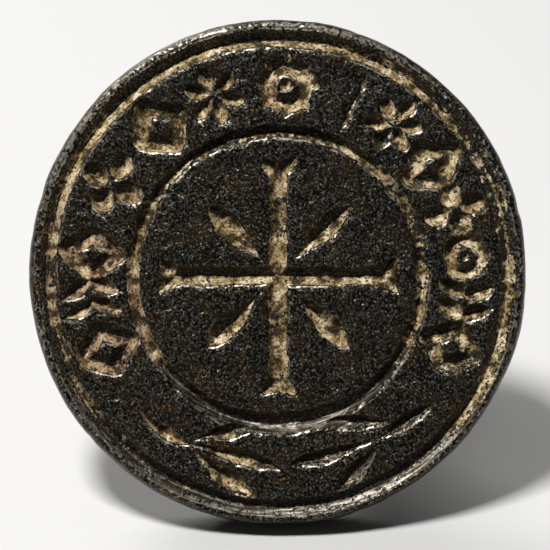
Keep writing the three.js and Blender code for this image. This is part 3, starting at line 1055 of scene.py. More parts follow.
@dataclass(frozen=True)
class Engraving:
    """The cuts of the face, laid out as in the solid, and the earth and wear in and about them, partly
    painted highlight and shade.
    """

    slope: float = 1.15
    margin: float = 0.55
    stroke: float = 1.15
    divider: float = 0.26
    circle_stroke: float = 0.82
    point: float = 0.4
    circle_radius: float = 8.65
    circle_drop: float = 0.24
    circle_foot: float = 1.35
    foot_arc: Span = (226, 318)
    foot_fullness: float = 0.6
    band_inner: float = 9.0
    border_inner: float = 13.1
    border_shoulder: float = 13.28
    border_deepest: float = 13.748
    border_outer: float = 14.45
    border_depth: float = 0.62
    mark_inner: float = 9.42
    mark_outer: float = 12.98
    device_reach: float = 7.15
    fork_reach: float = 1.45
    fork_spread: float = 48.0
    fork_width: float = 1.1
    quarter_leaf: float = 1.4
    oval: float = 0.008
    wall_height: float = 0.82
    wall_reach: float = 0.36
    earth_level: float = 0.61
    # the side of the face where the key lamp stands, in degrees: what leans to it is painted lit, what leans
    # away is painted shaded
    key_light_side: float = 110.0
    lean_step: float = 0.12

    @property
    def stretch(self) -> Array:
        """How much narrower and taller than round the plate is, across and up."""
        return np.array([1 - self.oval, 1 + self.oval])

    @property
    def circle_middle(self) -> Array:
        """The middle of the inner circle, a little below that of the face."""
        return np.array([0, -self.circle_drop])

    def on_band(self, degrees: float, across: float) -> Array:
        """A point of the legend band, across it from 0 at the inner circle to 1 at the border."""
        return on_circle(degrees, self.band_inner + across * (self.border_inner - self.band_inner))

    def mark_cuts(self, mark: Mark) -> Cuts:
        """The cuts of one ornament, drawn about its own middle in units of its half width and height.

        Args:
            mark: the ornament and its place.

        Returns:
            Its cuts.
        """
        middle = on_circle(mark.degrees, (self.mark_inner + self.mark_outer) / 2)
        outwards = on_circle(mark.degrees, (self.mark_outer - self.mark_inner) / 2)
        onwards = on_circle(mark.degrees - 90, mark.width / 2)
        width = self.stroke

        def at(u: float, v: float) -> Array:
            """The point of the face at u across the ornament and v outwards."""
            return middle + u * onwards + v * outwards

        def across(u: float, v: float) -> float:
            """How far that point is from the ornament's middle."""
            return float(np.linalg.norm(at(u, v) - at(0, 0)))

        if mark.ornament is Ornament.LOZENGE:
            corners = [np.array(c) for c in ((0, 0.84), (0.84, 0), (0, -0.84), (-0.84, 0))]
            runs = [(c, corners[(i + 1) % 4] - c) for i, c in enumerate(corners)]
            return [Stroke.bar(at(*(c - 0.2 * run)), at(*(c + 1.2 * run)), width, self.point)
                    for c, run in runs]
        if mark.ornament is Ornament.CHEVRONS:
            return [Stroke.leaf(at(heel, side), at(heel + 0.85, -0.1 * side), 0.9 * width, 0.55)
                    for heel in (-0.95, 0.15) for side in (1, -1)]
        if mark.ornament is Ornament.QUATREFOIL:
            tips = ((0, 1), (1, 0), (0, -1), (-1, 0))
            return [Stroke.leaf(at(0.06 * u, 0.06 * v), at(u, v), 1.25 * width, 0.62) for u, v in tips]
        if mark.ornament is Ornament.STAR:
            tips = [on_circle(90 + 60 * ray, 1) for ray in range(6)]
            return [Stroke.leaf(at(*(0.05 * tip)), at(1.1 * tip[0], tip[1]), 0.9 * width, 0.6)
                    for tip in tips]
        if mark.ornament is Ornament.DIVIDER:
            return [Stroke.bar(at(0, -1.1), at(0, 1.04), self.divider, self.point)]
        if mark.ornament is Ornament.ANNULET:
            return [Ring(at(0, 0), across(0.74, 0), 0.85 * width), Ring(at(0, 0), 0.0, 0.45 * width)]
        rays = [(on_circle(45 * ray, 0.7), on_circle(45 * ray, 1.08)) for ray in range(8)]
        wedges = [Stroke.wedge(at(0.9 * root[0], root[1]), at(0.9 * tip[0], tip[1]), 0.7 * width)
                  for root, tip in rays]
        return [Ring(at(0, 0), across(0, 0.62), width), Ring(at(0, 0), 0.0, 0.7 * width), *wedges]

    def device_cuts(self) -> Cuts:
        """The device: a cross whose arms end in forks, with a leaf in each quarter.

        Returns:
            Its cuts.
        """
        middle = self.circle_middle
        arm = self.device_reach - self.fork_reach * math.cos(math.radians(self.fork_spread))
        cuts: Cuts = []
        for degrees in (0, 90):
            end = on_circle(degrees, arm + self.point)
            cuts.append(Stroke.bar(middle - end, middle + end, self.stroke, self.point))
        for degrees in (0, 90, 180, 270):
            root = middle + on_circle(degrees, arm)
            for side in (-self.fork_spread, self.fork_spread):
                tip = root + on_circle(degrees + side, self.fork_reach)
                cuts.append(Stroke.wedge(root, tip, self.fork_width))
            inner = middle + on_circle(degrees + 45, 1.3)
            outer = middle + on_circle(degrees + 45, self.device_reach - 1.1)
            cuts.append(Stroke.leaf(inner, outer, self.quarter_leaf, 0.62))
        return cuts

    def sprig_cuts(self) -> Cuts:
        """The two sprigs at the foot of the band: a short stem each, which parts into three leaves."""
        return [Stroke.leaf(self.on_band(*leaf.start), self.on_band(*leaf.end), leaf.widest, leaf.widest_at,
                            self.on_band(*leaf.middle)) for leaf in SPRIG_LEAVES]

    def circle_cuts(self) -> Cuts:
        """The inner circle, and the wider cut along its foot.

        Returns:
            Both cuts.
        """
        foot_radius = self.circle_radius + (self.circle_foot - self.circle_stroke) / 4
        return [
            Ring(self.circle_middle, self.circle_radius, self.circle_stroke),
            Stroke.arc(self.circle_middle, foot_radius, self.foot_arc, self.circle_foot, self.foot_fullness),
        ]

    def turned_radius(self, at: Array) -> Array:
        """Distance from the middle of the blank before it was filed a little taller than round."""
        return np.hypot(at[:, 0] / (1 - self.oval), at[:, 1] / (1 + self.oval))

    def circle_distance(self, at: Array) -> Array:
        """Distance from the middle of the inner circle."""
        return np.hypot(at[:, 0], at[:, 1] + self.circle_drop)

    def border_wall(self, radius: Array, degrees: Array) -> Array:
        """Depth in the border groove: two straight walls that meet at its deepest circle.

        At the lower right the rim is worn down, and the outer wall runs out nearly to the rolled edge.

        Args:
            radius: distance from the middle of the blank.
            degrees: angle counter-clockwise from the right.

        Returns:
            The depth, below nothing outside the groove.
        """
        worn = bump_at(turned_from(degrees, 299), 0, 36)
        deepest = self.border_deepest + 0.06 + 0.14 * worn
        inner = (radius - self.border_shoulder - 0.1 * worn) / (deepest - self.border_shoulder - 0.1 * worn)
        outer = (self.border_outer + 0.34 * worn - radius) / (self.border_outer + 0.34 * worn - deepest)
        return self.border_depth * np.minimum(inner, outer)

    def cut_depth(self, at: Array) -> Array:
        """Works out the cuts by hand: their places wander a little and their width varies.

        Args:
            at: places on the face.

        Returns:
            The depth of the engraved cuts, as a plain V. Outside a cut it is below nothing.
        """
        wander = [0.075 * lattice_noise(at, 0.9, seed) + 0.034 * lattice_noise(at, 0.26, seed + 2)
                  for seed in (3, 4)]
        moved = at + np.stack(wander, axis=1)
        cuts = np.full(len(at), -0.6)
        marks = [cut for mark in MARKS for cut in self.mark_cuts(mark)]
        for cut in [*marks, *self.device_cuts(), *self.sprig_cuts(), *self.circle_cuts()]:
            cut.deepen(moved, cuts, self.slope, self.margin)
        return cuts + 0.03 * lattice_noise(at, 0.7, 8)

    def earth_cover(self, at: Array, radius: Array, degrees: Array) -> Array:
        """How readily earth still clings at each place, were there a cut: about 0 for bare, 1 for full.

        Args:
            at: places on the face.
            radius: their distance from the middle of the blank.
            degrees: their angle.

        Returns:
            The cover, before the fine noise of the finish breaks it up.
        """
        crumbs = layered_noise(at, 0.27, 2, 29)
        cover = 0.68 + 0.42 * layered_noise(at, 1.3, 3, 21) + 0.3 * crumbs

        # the inner circle keeps its earth at the left and is bare along its foot
        circle = 0.42 + 0.4 * arc_window(degrees, 184, 26) - 0.85 * arc_window(degrees, 272, 40)
        circle += 0.42 * layered_noise(at, 0.8, 3, 23) + 0.34 * crumbs

        # the border keeps it on the inner wall at the top, and in thin lines at the left and lower right
        inner_wall = 1 - smooth_step(13.62, 13.86, radius)
        streaky = 0.34 * layered_noise(np.stack([radius / 0.17, degrees / 7], axis=1), 1.0, 2, 27)
        border = 0.12 + 0.75 * inner_wall * arc_window(degrees, 104, 54)
        border += 0.5 * arc_window(degrees, 190, 24) * bump_at(radius, 13.72, 0.24)
        border -= 0.5 * (1 - inner_wall) * arc_window(degrees, 255, 50)
        border += 0.95 * arc_window(degrees, -20, 17) * bump_at(radius, 13.92, 0.27)
        border += 0.5 * bump_at(radius, 13.93, 0.07)
        border += 0.3 * layered_noise(at, 1.1, 3, 25) + streaky + 0.4 * crumbs

        near_circle = bump_at(self.circle_distance(at), self.circle_radius + 0.1, 0.75)
        in_border = smooth_step(self.border_shoulder - 0.15, self.border_shoulder + 0.05, radius)
        cover = cover * (1 - near_circle) + circle * near_circle
        return cover * (1 - in_border) + border * in_border

    def surface(self, at: Array) -> dict[str, Array]:
        """The face: how deep it lies at each place, and the numbers that its finish reads.

        A cut goes down steeply at its lips and levels out: a height times one less e to the minus of the V
        over a reach. The border's walls are straight. Earth then fills the bottoms, and the field rolls.

        Args:
            at: places on the face.

        Returns:
            The depth below the plane of the face, and the numbers that DarkPatina reads.
        """
        radius = self.turned_radius(at) + 0.035 * lattice_noise(at, 1.4, 9)
        degrees = np.degrees(np.arctan2(at[:, 1], at[:, 0])) % 360
        cuts, border = self.cut_depth(at), self.border_wall(radius, degrees)
        deepest = np.maximum(cuts, border)
        walls = self.wall_height * (1 - np.exp(-smooth_max(cuts, 0.0, 0.11) / self.wall_reach))
        depth = smooth_max(walls, smooth_max(border, 0.0, 0.14), 0.05)

        # a wall leans to the side of the key lamp, the top, where the cut is deeper a step further that way;
        # the earth, wear and bare metal below follow this lean to paint that lamp's light and shade
        ahead = at + on_circle(self.key_light_side, self.lean_step)
        further = np.maximum(self.cut_depth(ahead), self.border_wall(self.turned_radius(ahead), degrees))
        lean = np.clip((further - deepest) / (self.lean_step * self.slope), -1, 1)

        inside = smooth_step(0.02, 0.14, deepest)
        in_border = smooth_step(13.0, 13.3, radius)
        outer_wall = smooth_step(13.75, 14.0, radius)
        foot_ring = bump_at(self.circle_distance(at), self.circle_radius + 0.25, 0.7)
        foot_ring *= arc_window(degrees, 272, 44)
        # the sprigs at the lower right are scoured to bare metal only on the walls turned to the key lamp:
        # partly wear, partly painted highlight
        scoured_lit_side = arc_window(degrees, 300, 26) * smooth_step(8.9, 9.4, radius) * (1 - in_border)
        scoured_lit_side *= smooth_step(-0.1, 0.5, lean + 0.45 * layered_noise(at, 0.9, 2, 73))

        # earth lies in the cuts up to one level, lumpy on top, and less of it where the cuts are scoured; it
        # is left off the walls turned from the key lamp, which then show the dark patina as painted shade
        cover = self.earth_cover(at, radius, degrees)
        earth = inside * smooth_step(0.0, 0.75, cover) * smooth_step(-0.95, -0.35, lean)
        earth *= 1 - 0.62 * scoured_lit_side
        earth += 0.3 * bump_at(deepest, 0.0, 0.09) * smooth_step(0.3, 0.9, cover)
        earth = share_of(earth)
        clod = layered_noise(at, 0.5, 4, 33)
        fill = self.earth_level + 0.1 * layered_noise(at, 0.9, 2, 31) + 0.06 * in_border
        depth += (smooth_min(depth, fill, 0.1) - 0.06 * clod - depth) * earth

        # the field rolls softly, is pitted, and dips towards the lips of the cuts
        field_share = 1 - smooth_step(-0.05, 0.12, deepest)
        rolling = 0.04 * layered_noise(at, 2.8, 2, 41) + 0.032 * layered_noise(at, 0.7, 3, 43)
        pits = 0.03 * smooth_step(0.5, 0.85, lattice_noise(at, 0.36, 47))
        depth += (rolling + pits + 0.008 * layered_noise(at, 0.2, 1, 49)) * field_share
        depth -= 0.016 * bump_at(deepest, -0.05, 0.05) * (0.5 + 0.5 * lattice_noise(at, 0.6, 51))
        depth += 0.05 * smooth_step(-0.4, 0.0, deepest) ** 2 * field_share

        # the border and the foot of the circle are scratched round
        lines = np.stack([radius / 0.15, degrees / 11], axis=1)
        scratch = layered_noise(lines, 1.0, 3, 57)
        tremble = layered_noise(at, 0.3, 3, 67)
        depth += (0.022 * scratch + 0.02 * tremble) * (in_border * (0.3 + 0.7 * outer_wall) + foot_ring)

        # metal shows on the lips turned to the key lamp, a painted highlight, on the crest of the rim, and
        # where the walls are bare
        wear = bump_at(deepest, -0.045, 0.075) * smooth_step(-0.5, 0.3, lattice_noise(at, 0.55, 61))
        wear *= smooth_step(-0.3, 0.6, lean)
        glints = 0.45 * layered_noise(at, 0.26, 3, 63) + 0.2 * layered_noise(lines * [0.6, 1], 1.0, 2, 64)
        # the crest carries more metal at the top, where the key lamp strikes it: painted highlight
        crest = 0.16 + 0.36 * arc_window(degrees, 112, 46) + 0.2 * arc_window(degrees, 300, 30) + glints
        wear += smooth_step(14.3, 14.45, radius) * crest
        bare = 0.92 * in_border * outer_wall * arc_window(degrees, 278, 58)
        # the foot of the circle is bared only on its wall turned to the key lamp, and its other wall is left
        # dark: painted highlight and painted shade
        bare += inside * (1.35 * foot_ring * smooth_step(-0.5, 0.15, lean) + scoured_lit_side)
        wear += bare * (1 - earth) * (0.62 + 0.4 * scratch + 0.3 * tremble)

        blush = arc_window(degrees, 190, 26) * smooth_step(7.5, 9.5, radius)
        blush *= 0.8 * smooth_step(-0.8, 0.7, layered_noise(at, 1.7, 3, 71))
        return {
            "depth": depth,
            "earth": earth,
            "clod": share_of(0.5 + 0.6 * clod),
            "blush": share_of(blush),
            "wear": share_of(wear),
            "rust": 0.15 + 0.85 * smooth_step(9, -4, at[:, 0] + at[:, 1]),
            "calm": np.zeros(len(at)),
            "deep": smooth_step(0.0, 0.15, deepest),
        }


# The die plate

class Dent(NamedTuple):
    """A dent in the edge: its angle and half its width, in degrees, and its depth in millimetres."""

    degrees: float
    half: float
    depth: float


DENTS = (
    Dent(71, 1.6, 0.06),
    Dent(14, 1.5, 0.08),
    Dent(-63, 2.2, 0.06),
    Dent(163, 1.9, 0.07),
    Dent(221, 1.2, 0.06),
)


class RimProfile(NamedTuple):
    """The profile of the rim, row by row.

    Outward is how far a row faces away from the axis, engraved how much of the face's own relief it has,
    and rough how much of the edge's.
    """

    radius: Array
    depth: Array
    outward: Array
    engraved: Array
    rough: Array


@dataclass
class DiePlate:
    """The round plate. Its face is in three pieces that meet in the bottoms of the cuts, for a fine mesh."""

    die: DieFrame
    engraving: Engraving = field(default_factory=Engraving)
    side: int = 297
    band_rows: int = 80
    wall_rows: int = 16
    roll_rows: int = 13
    side_rows: int = 9
    fade_rows: int = 8
    back_side: int = 149
    radius: float = 15.0
    thickness: float = 3.4
    crest: float = 14.47
    roll_depth: float = 0.9
    back_roll: float = 1.4
    back_roll_depth: float = 1.5
    back_flat: tuple[float, float, float] = (13.5, 13.35, 13.2)
    floor_of_plugs: float = 2.3
    floor_of_rim: float = 2.6
    roof_of_back: float = 2.2

    @property
    def columns(self) -> int:
        """Points round every circle of the die, as many as round the edge of the square grid."""
        return 4 * (self.side - 1)

    @property
    def angles(self) -> Array:
        """The angles of those points, which start at the corner of the square grid."""
        return -math.pi / 4 + np.arange(self.columns) * (2 * math.pi / self.columns)

    @staticmethod
    def disc(side: int) -> tuple[Array, Array]:
        """A square grid drawn out to a disc: squares about the middle become circles.

        Args:
            side: points along a side of the square.

        Returns:
            The points of the unit disc, row by row, and the numbers of those on its edge, by angle.
        """
        line = np.linspace(-1, 1, side)
        b, a = np.meshgrid(line, line, indexing="ij")
        wide = np.abs(a) >= np.abs(b)
        with np.errstate(divide="ignore", invalid="ignore"):
            turn = np.where(wide, np.pi / 4 * b / a, np.pi / 2 - np.pi / 4 * a / b)
        radius = np.where(wide, a, b)
        turn = np.where(radius == 0, 0, turn)
        points = np.stack([(radius * np.cos(turn)).ravel(), (radius * np.sin(turn)).ravel()], axis=1)
        last = side - 1
        steps = np.arange(last)
        edge = np.concatenate([
            steps * side + last,
            last * side + last - steps,
            (last - steps) * side,
            steps,
        ])
        return points, edge

    def plug(self, name: str, flat: Array, edge: Array, side: int, hidden: float,
             layers: dict[str, Array], centre: Array) -> bpy.types.Object:
        """Closes a disc-shaped sheet with a wall and a bottom, and makes it a piece.

        Args:
            name: name of the piece.
            flat: its places on the face.
            edge: numbers of the points on its edge.
            side: points along a side of its square grid.
            hidden: how deep the bottom lies.
            layers: how deep each point lies, and the numbers that it carries.
            centre: the middle of the disc.

        Returns:
            The piece.
        """
        depth = layers.pop("depth")
        points = np.vstack([at_depth(flat, depth), at_depth(flat[edge], hidden), [[*centre, hidden]]])
        below = len(flat) + np.arange(len(edge))
        wall = np.stack([edge, below, np.roll(below, -1), np.roll(edge, -1)], axis=1)
        sheet = grid_quads(side, side, round_columns=False)
        if hidden > float(depth.mean()):
            triangles = fan(below[::-1], len(points) - 1)
        else:
            sheet, wall = sheet[:, ::-1], wall[:, ::-1]
            triangles = fan(below, len(points) - 1)
        spare = len(points) - len(flat)
        # the sheet is mapped as it is seen, its wall as a thin ring round it, and the bottom in a corner
        from_middle = flat - centre
        from_middle /= np.linalg.norm(from_middle[edge], axis=1).max()
        outwards = from_middle[edge] / np.linalg.norm(from_middle[edge], axis=1, keepdims=True)
        on_sheet = np.vstack([0.5 + 0.46 * from_middle, np.zeros((spare, 2))])
        on_wall = np.zeros((len(points), 2))
        on_wall[edge], on_wall[below] = 0.5 + 0.465 * outwards, 0.5 + 0.485 * outwards
        on_bottom = np.full((len(points), 2), 0.94)
        on_bottom[below] += 0.045 * outwards
        quad_map = np.vstack([on_sheet[sheet], on_wall[wall]])
        shell = Shell(points, np.vstack([sheet, wall]), triangles, with_hidden(layers, spare), edge, quad_map,
                      on_bottom[triangles])
        return mesh_object(name, shell, self.die)

    def roundel(self) -> bpy.types.Object:
        """The middle of the face, out to the bottom of the inner circle.

        Returns:
            The piece.
        """
        unit, edge = self.disc(self.side)
        middle = self.engraving.circle_middle
        flat = unit * self.engraving.circle_radius + middle
        layers = self.engraving.surface(flat)
        return self.plug("face_roundel", flat, edge, self.side, self.floor_of_plugs, layers, middle)

    def legend_band(self) -> bpy.types.Object:
        """The legend band, from the bottom of the inner circle out to that of the border groove.

        Its rows go over from the inner circle, which is set a little low, to circles about the middle.

        Returns:
            The piece.
        """
        cut, count = self.engraving, self.columns
        ray = directions(self.angles)
        share = np.linspace(0, 1, self.band_rows + 1)[:, None, None]
        inner = ray * cut.circle_radius + cut.circle_middle
        outer = ray * cut.border_deepest * cut.stretch
        flat = ((1 - share) * inner + share * outer).reshape(-1, 2)
        layers = cut.surface(flat)
        seen = at_depth(flat, layers.pop("depth"))
        first = np.arange(count)
        last = first + len(flat) - count
        walls = at_depth(np.vstack([flat[last], flat[first]]), self.floor_of_plugs)
        quads = grid_quads(self.band_rows + 3, count, round_rows=True)
        # mapped as it is seen, with its outer wall round it, and its bottom and inner wall within
        on_face = 0.5 + 0.46 * flat / cut.border_deepest / (1 + cut.oval)
        quad_map = np.vstack([
            on_face[quads[:self.band_rows * count]],
            *(self.ring_map(0.5 + near * ray, 0.5 + far * ray)
              for near, far in ((0.47, 0.485), (0.25, 0.2), (0.262, 0.272))),
        ])
        shell = Shell(np.vstack([seen, walls]), quads, layers=with_hidden(layers, 2 * count),
                      seam=np.concatenate([first, last]), quad_map=quad_map)
        return mesh_object("face_legend_band", shell, self.die)

    @staticmethod
    def ring_map(near: Array, far: Array) -> Array:
        """The map of one round row of faces, from its ring of points to the next."""
        return np.stack([near, np.roll(near, -1, axis=0), np.roll(far, -1, axis=0), far], axis=1)

    def rim_profile(self) -> RimProfile:
        """The profile of the rim: the groove's outer wall, the rolled edge, the side and the back's edge.

        The rolled edges are quarters of ellipses, as in the solid.

        Returns:
            The profile.
        """
        wall = np.linspace(self.engraving.border_deepest, self.crest, self.wall_rows)
        quarter = np.linspace(0, np.pi / 2, self.roll_rows + 1)[1:]
        sine, cosine = np.sin(quarter), np.cos(quarter)
        side = np.linspace(self.roll_depth, self.thickness - self.back_roll_depth, self.side_rows + 1)[1:]
        flat = np.array(self.back_flat)
        radius = np.concatenate([
            wall,
            self.crest + (self.radius - self.crest) * sine,
            np.full(len(side), self.radius),
            self.radius - self.back_roll * (1 - cosine),
            flat,
        ])
        depth = np.concatenate([
            np.zeros(len(wall)),
            self.roll_depth * (1 - cosine),
            side,
            self.thickness - self.back_roll_depth * (1 - sine),
            np.full(len(flat), self.thickness),
        ])
        outward = np.concatenate([np.zeros(len(wall)), sine, np.ones(len(side)), cosine, np.zeros(len(flat))])
        row = np.arange(len(radius))
        engraved = share_of(1 - (row - len(wall) + 1) / self.fade_rows)
        rough = (1 - engraved) * share_of(row[::-1] / 4)
        return RimProfile(radius, depth, outward, engraved, rough)

    @staticmethod
    def edge_swell(place: Array, degrees: Array, files: Array) -> Array:
        """How far the edge stands out from its profile: a slow waviness, file strokes and dents.

        Args:
            place: its points.
            degrees: their angles.
            files: their places along and across the file strokes.

        Returns:
            The swell, in millimetres.
        """
        swell = 0.05 * layered_noise(place, 4.0, 2, 81) + 0.022 * layered_noise(place, 0.8, 2, 83)
        swell += 0.01 * layered_noise(files, 1.0, 2, 85)
        for dent in DENTS:
            hollow = dent.depth * bump_at(turned_from(degrees, dent.degrees), 0, dent.half)
            swell -= hollow * bump_at(place[:, 2], 0.5, 0.55)
        return swell

    @staticmethod
    def edge_layers(place: Array, degrees: Array, files: Array) -> dict[str, Array]:
        """What the finish reads on the edge: metal along its crest, more at its top as a painted highlight,
        some earth, and calm down the side.

        Args:
            place: its points.
            degrees: their angles.
            files: their places along and across the file strokes.

        Returns:
            The numbers that differ from those of the face.
        """
        # more metal at the top of the crest, where the key lamp strikes it: painted highlight
        crest = 0.2 + 0.36 * arc_window(degrees, 112, 46) + 0.45 * layered_noise(place, 0.26, 3, 93)
        wear = 0.02 + bump_at(place[:, 2], 0.0, 0.26) * crest + 0.2 * layered_noise(files, 1.0, 2, 87)
        return {
            "wear": share_of(wear),
            "earth": 0.35 * smooth_step(0.35, 0.9, layered_noise(place, 0.9, 3, 91)),
            "calm": smooth_step(0.0, 0.8, place[:, 2]),
            "deep": np.zeros(len(place)),
        }

    def rim(self) -> bpy.types.Object:
        """The outer wall of the border groove, the crest, the rolled edge and the side.

        Each row is a circle of the profile, and its swell goes along the radius and the depth.

        Returns:
            The piece.
        """
        profile, count = self.rim_profile(), self.columns
        rows = len(profile.radius)
        ray = directions(self.angles)
        flat = (profile.radius[:, None, None] * ray[None] * self.engraving.stretch).reshape(-1, 2)
        layers = self.engraving.surface(flat)
        relief = layers.pop("depth") * np.repeat(profile.engraved, count)
        place = at_depth(flat, np.repeat(profile.depth, count) + relief)
        degrees = np.degrees(np.tile(self.angles, rows))
        files = np.column_stack([degrees / 7, place[:, 2] / 0.16])
        swell = self.edge_swell(place, degrees, files) * np.repeat(profile.rough, count)
        outward = np.repeat(profile.outward, count)
        place[:, :2] += np.tile(ray, (rows, 1)) * (swell * outward)[:, None]
        place[:, 2] += np.where(place[:, 2] > 2, 1, -1) * swell * np.sqrt(1 - outward ** 2)

        on_edge = np.arange(len(place)) >= self.wall_rows * count
        own = self.edge_layers(place, degrees, files)
        layers = {name: np.where(on_edge, own.get(name, values), values) for name, values in layers.items()}
        first = np.arange(count)
        last = first + (rows - 1) * count
        hidden = at_depth(np.vstack([place[last, :2], place[first, :2]]), self.floor_of_rim)
        quads = grid_quads(rows + 2, count, round_rows=True)
        # mapped in four strips, one for each quarter of the way round, the profile running up each
        row, column = np.divmod(np.arange(len(quads)), count)
        strip, within = np.divmod(column, count // 4)
        u = 0.01 + 0.98 * (within[:, None] + [0, 1, 1, 0]) / (count // 4)
        v = (strip[:, None] + 0.03 + 0.94 * (row[:, None] + [0, 0, 1, 1]) / (rows + 2)) / 4
        shell = Shell(np.vstack([place, hidden]), quads, layers=with_hidden(layers, 2 * count),
                      seam=np.concatenate([first, last]), quad_map=np.stack([u, v], axis=2))
        return mesh_object("die_rim", shell, self.die)

    def back(self) -> bpy.types.Object:
        """The flat of the back, scraped level by hand: a plane with shallow hollows and file strokes.

        Returns:
            The piece.
        """
        unit, edge = self.disc(self.back_side)
        flat = unit * self.back_flat[-1] * self.engraving.stretch
        inward = 1 - smooth_step(12.2, 13.1, np.hypot(*flat.T))
        strokes = flat @ np.array([[0.96, -0.28], [0.28, 0.96]]) / [3.4, 0.5]
        hollows = 0.035 * layered_noise(flat, 2.6, 3, 101) + 0.018 * layered_noise(strokes, 1.0, 2, 103)
        layers = {
            "depth": self.thickness + inward * hollows,
            "earth": 0.7 * smooth_step(0.25, 0.8, layered_noise(flat, 2.0, 4, 107)),
            "clod": 0.5 + 0.4 * layered_noise(flat, 0.5, 3, 113),
            "wear": 0.22 + 0.3 * layered_noise(strokes, 1.0, 3, 109),
            "blush": np.zeros(len(flat)),
            "calm": np.ones(len(flat)),
            "rust": 0.7 + 0.3 * layered_noise(flat, 3.0, 2, 111),
            "deep": np.zeros(len(flat)),
        }
        return self.plug("die_back", flat, edge, self.back_side, self.roof_of_back, layers, np.zeros(2))

    def build(self) -> None:
        """Makes the four pieces of the plate and dresses them."""
        material = DarkPatina().material(self.die)
        for piece in (self.roundel(), self.legend_band(), self.rim(), self.back()):
            finished(piece, material, "die", "dark_patina", "die_plate")


# The hinge and the handle

def pierced_plate(outer: Callable[[Array], Array], hole: float, half: float, roll: float,
                  columns: int = 96) -> Array:
    """A plate with a round hole: each angle carries a rounded rectangle from the hole to the outline.

    Args:
        outer: radius of the outline for each angle.
        hole: radius of the hole.
        half: half the plate's thickness.
        roll: radius of its rolled edges.
        columns: number of angles.

    Returns:
        A closed grid: sections by angles by radius along two axes and height.
    """
    angles = all_round(columns)
    corner = np.linspace(0, np.pi / 2, 5)
    out = np.concatenate([np.sin(corner), np.cos(corner)])[:, None]
    rise = np.concatenate([np.cos(corner), -np.sin(corner)])[:, None]
    # the tiny term counts the two middle rows, at no height, with the upper corner
    height = (half - roll) * np.sign(rise + 1e-9) + roll * rise
    rims = [outer(angles) - roll + roll * out, np.full(columns, hole) + roll - roll * out[::-1]]
    radius = np.vstack(rims)
    heights = np.vstack([height, height[::-1]]) * np.ones(columns)
    return np.stack([radius * np.cos(angles), radius * np.sin(angles), heights], axis=2)


def rounded_section(columns: int, half_width: Array, half_height: Array, power: float) -> tuple[Array, Array]:
    """Sections like a rectangle with soft corners: a superellipse.

    Args:
        columns: points round a section.
        half_width: half the width of each section.
        half_height: half the height of each section.
        power: 2 gives an ellipse and more squares it up.

    Returns:
        The two coordinates of the points, sections by columns.
    """
    c, s = directions(all_round(columns)).T
    stretch = (np.abs(c) ** power + np.abs(s) ** power) ** (-1 / power)
    return half_width[:, None] * (stretch * c), half_height[:, None] * (stretch * s)


def barred(x: Array, y: Array, depths: Array) -> Shell:
    """A closed bar from the two coordinates of its sections, and the depth of each section."""
    return capped_rows(np.stack([x, y, np.broadcast_to(depths[:, None], x.shape)], axis=2))


def cast_in_one(shells: list[Shell], relax: int) -> Shell:
    """Joins overlapping shells into one skin, as a casting, and softens its edges and inner corners.

    Args:
        shells: closed shells that overlap.
        relax: how often each point moves half-way to the mean of its neighbours.

    Returns:
        One closed shell.
    """
    rough = joined([s.turned_out() for s in shells])
    mirror = (1, 1, -1)
    mesh = bpy.data.meshes.new("rough_casting")
    mesh.from_pydata((rough.points * mirror).tolist(), [], rough.quads.tolist() + rough.triangles.tolist())
    holder = linked("rough_casting", mesh)
    skin = holder.modifiers.new("skin", "REMESH")
    skin.mode = "VOXEL"
    skin.voxel_size = VOXEL
    evaluated = holder.evaluated_get(bpy.context.evaluated_depsgraph_get())
    made = evaluated.to_mesh()
    points = np.empty(len(made.vertices) * 3)
    made.vertices.foreach_get("co", points)
    quads = np.empty(len(made.loops), np.int32)
    made.loops.foreach_get("vertex_index", quads)
    evaluated.to_mesh_clear()
    bpy.data.objects.remove(holder)
    bpy.data.meshes.remove(mesh)
    quads = quads.reshape(-1, 4).astype(int)
    return Shell(relaxed(points.reshape(-1, 3) * mirror, quads, relax), quads).turned_out()


def relaxed(points: Array, quads: Array, times: int) -> Array:
    """Moves each point half-way to the mean of its neighbours, so many times.

    Args:
        points: the points.
        quads: the faces that join them.
        times: how often.

    Returns:
        The moved points.
    """
    start, end = np.vstack([quads[:, [i, (i + 1) % 4]] for i in range(4)]).T
    count = np.maximum(np.bincount(start, minlength=len(points)), 1)[:, None]
    for _ in range(times):
        mean = np.stack([np.bincount(start, points[end, axis], len(points)) for axis in range(3)], axis=1)
        points = points + 0.5 * (mean / count - points)
    return points


def point_normals(points: Array, quads: Array) -> Array:
    """The outward direction at each point: the mean of the faces round it, by their areas.

    Args:
        points: the points.
        quads: the faces that join them.

    Returns:
        A unit direction for each point.
    """
    across = points[quads[:, 2]] - points[quads[:, 0]]
    over = points[quads[:, 3]] - points[quads[:, 1]]
    normal = -np.cross(across, over)
    total = np.stack([
        sum(np.bincount(quads[:, corner], normal[:, axis], len(points)) for corner in range(4))
        for axis in range(3)
    ], axis=1)
    return total / np.maximum(np.linalg.norm(total, axis=1, keepdims=True), 1e-12)


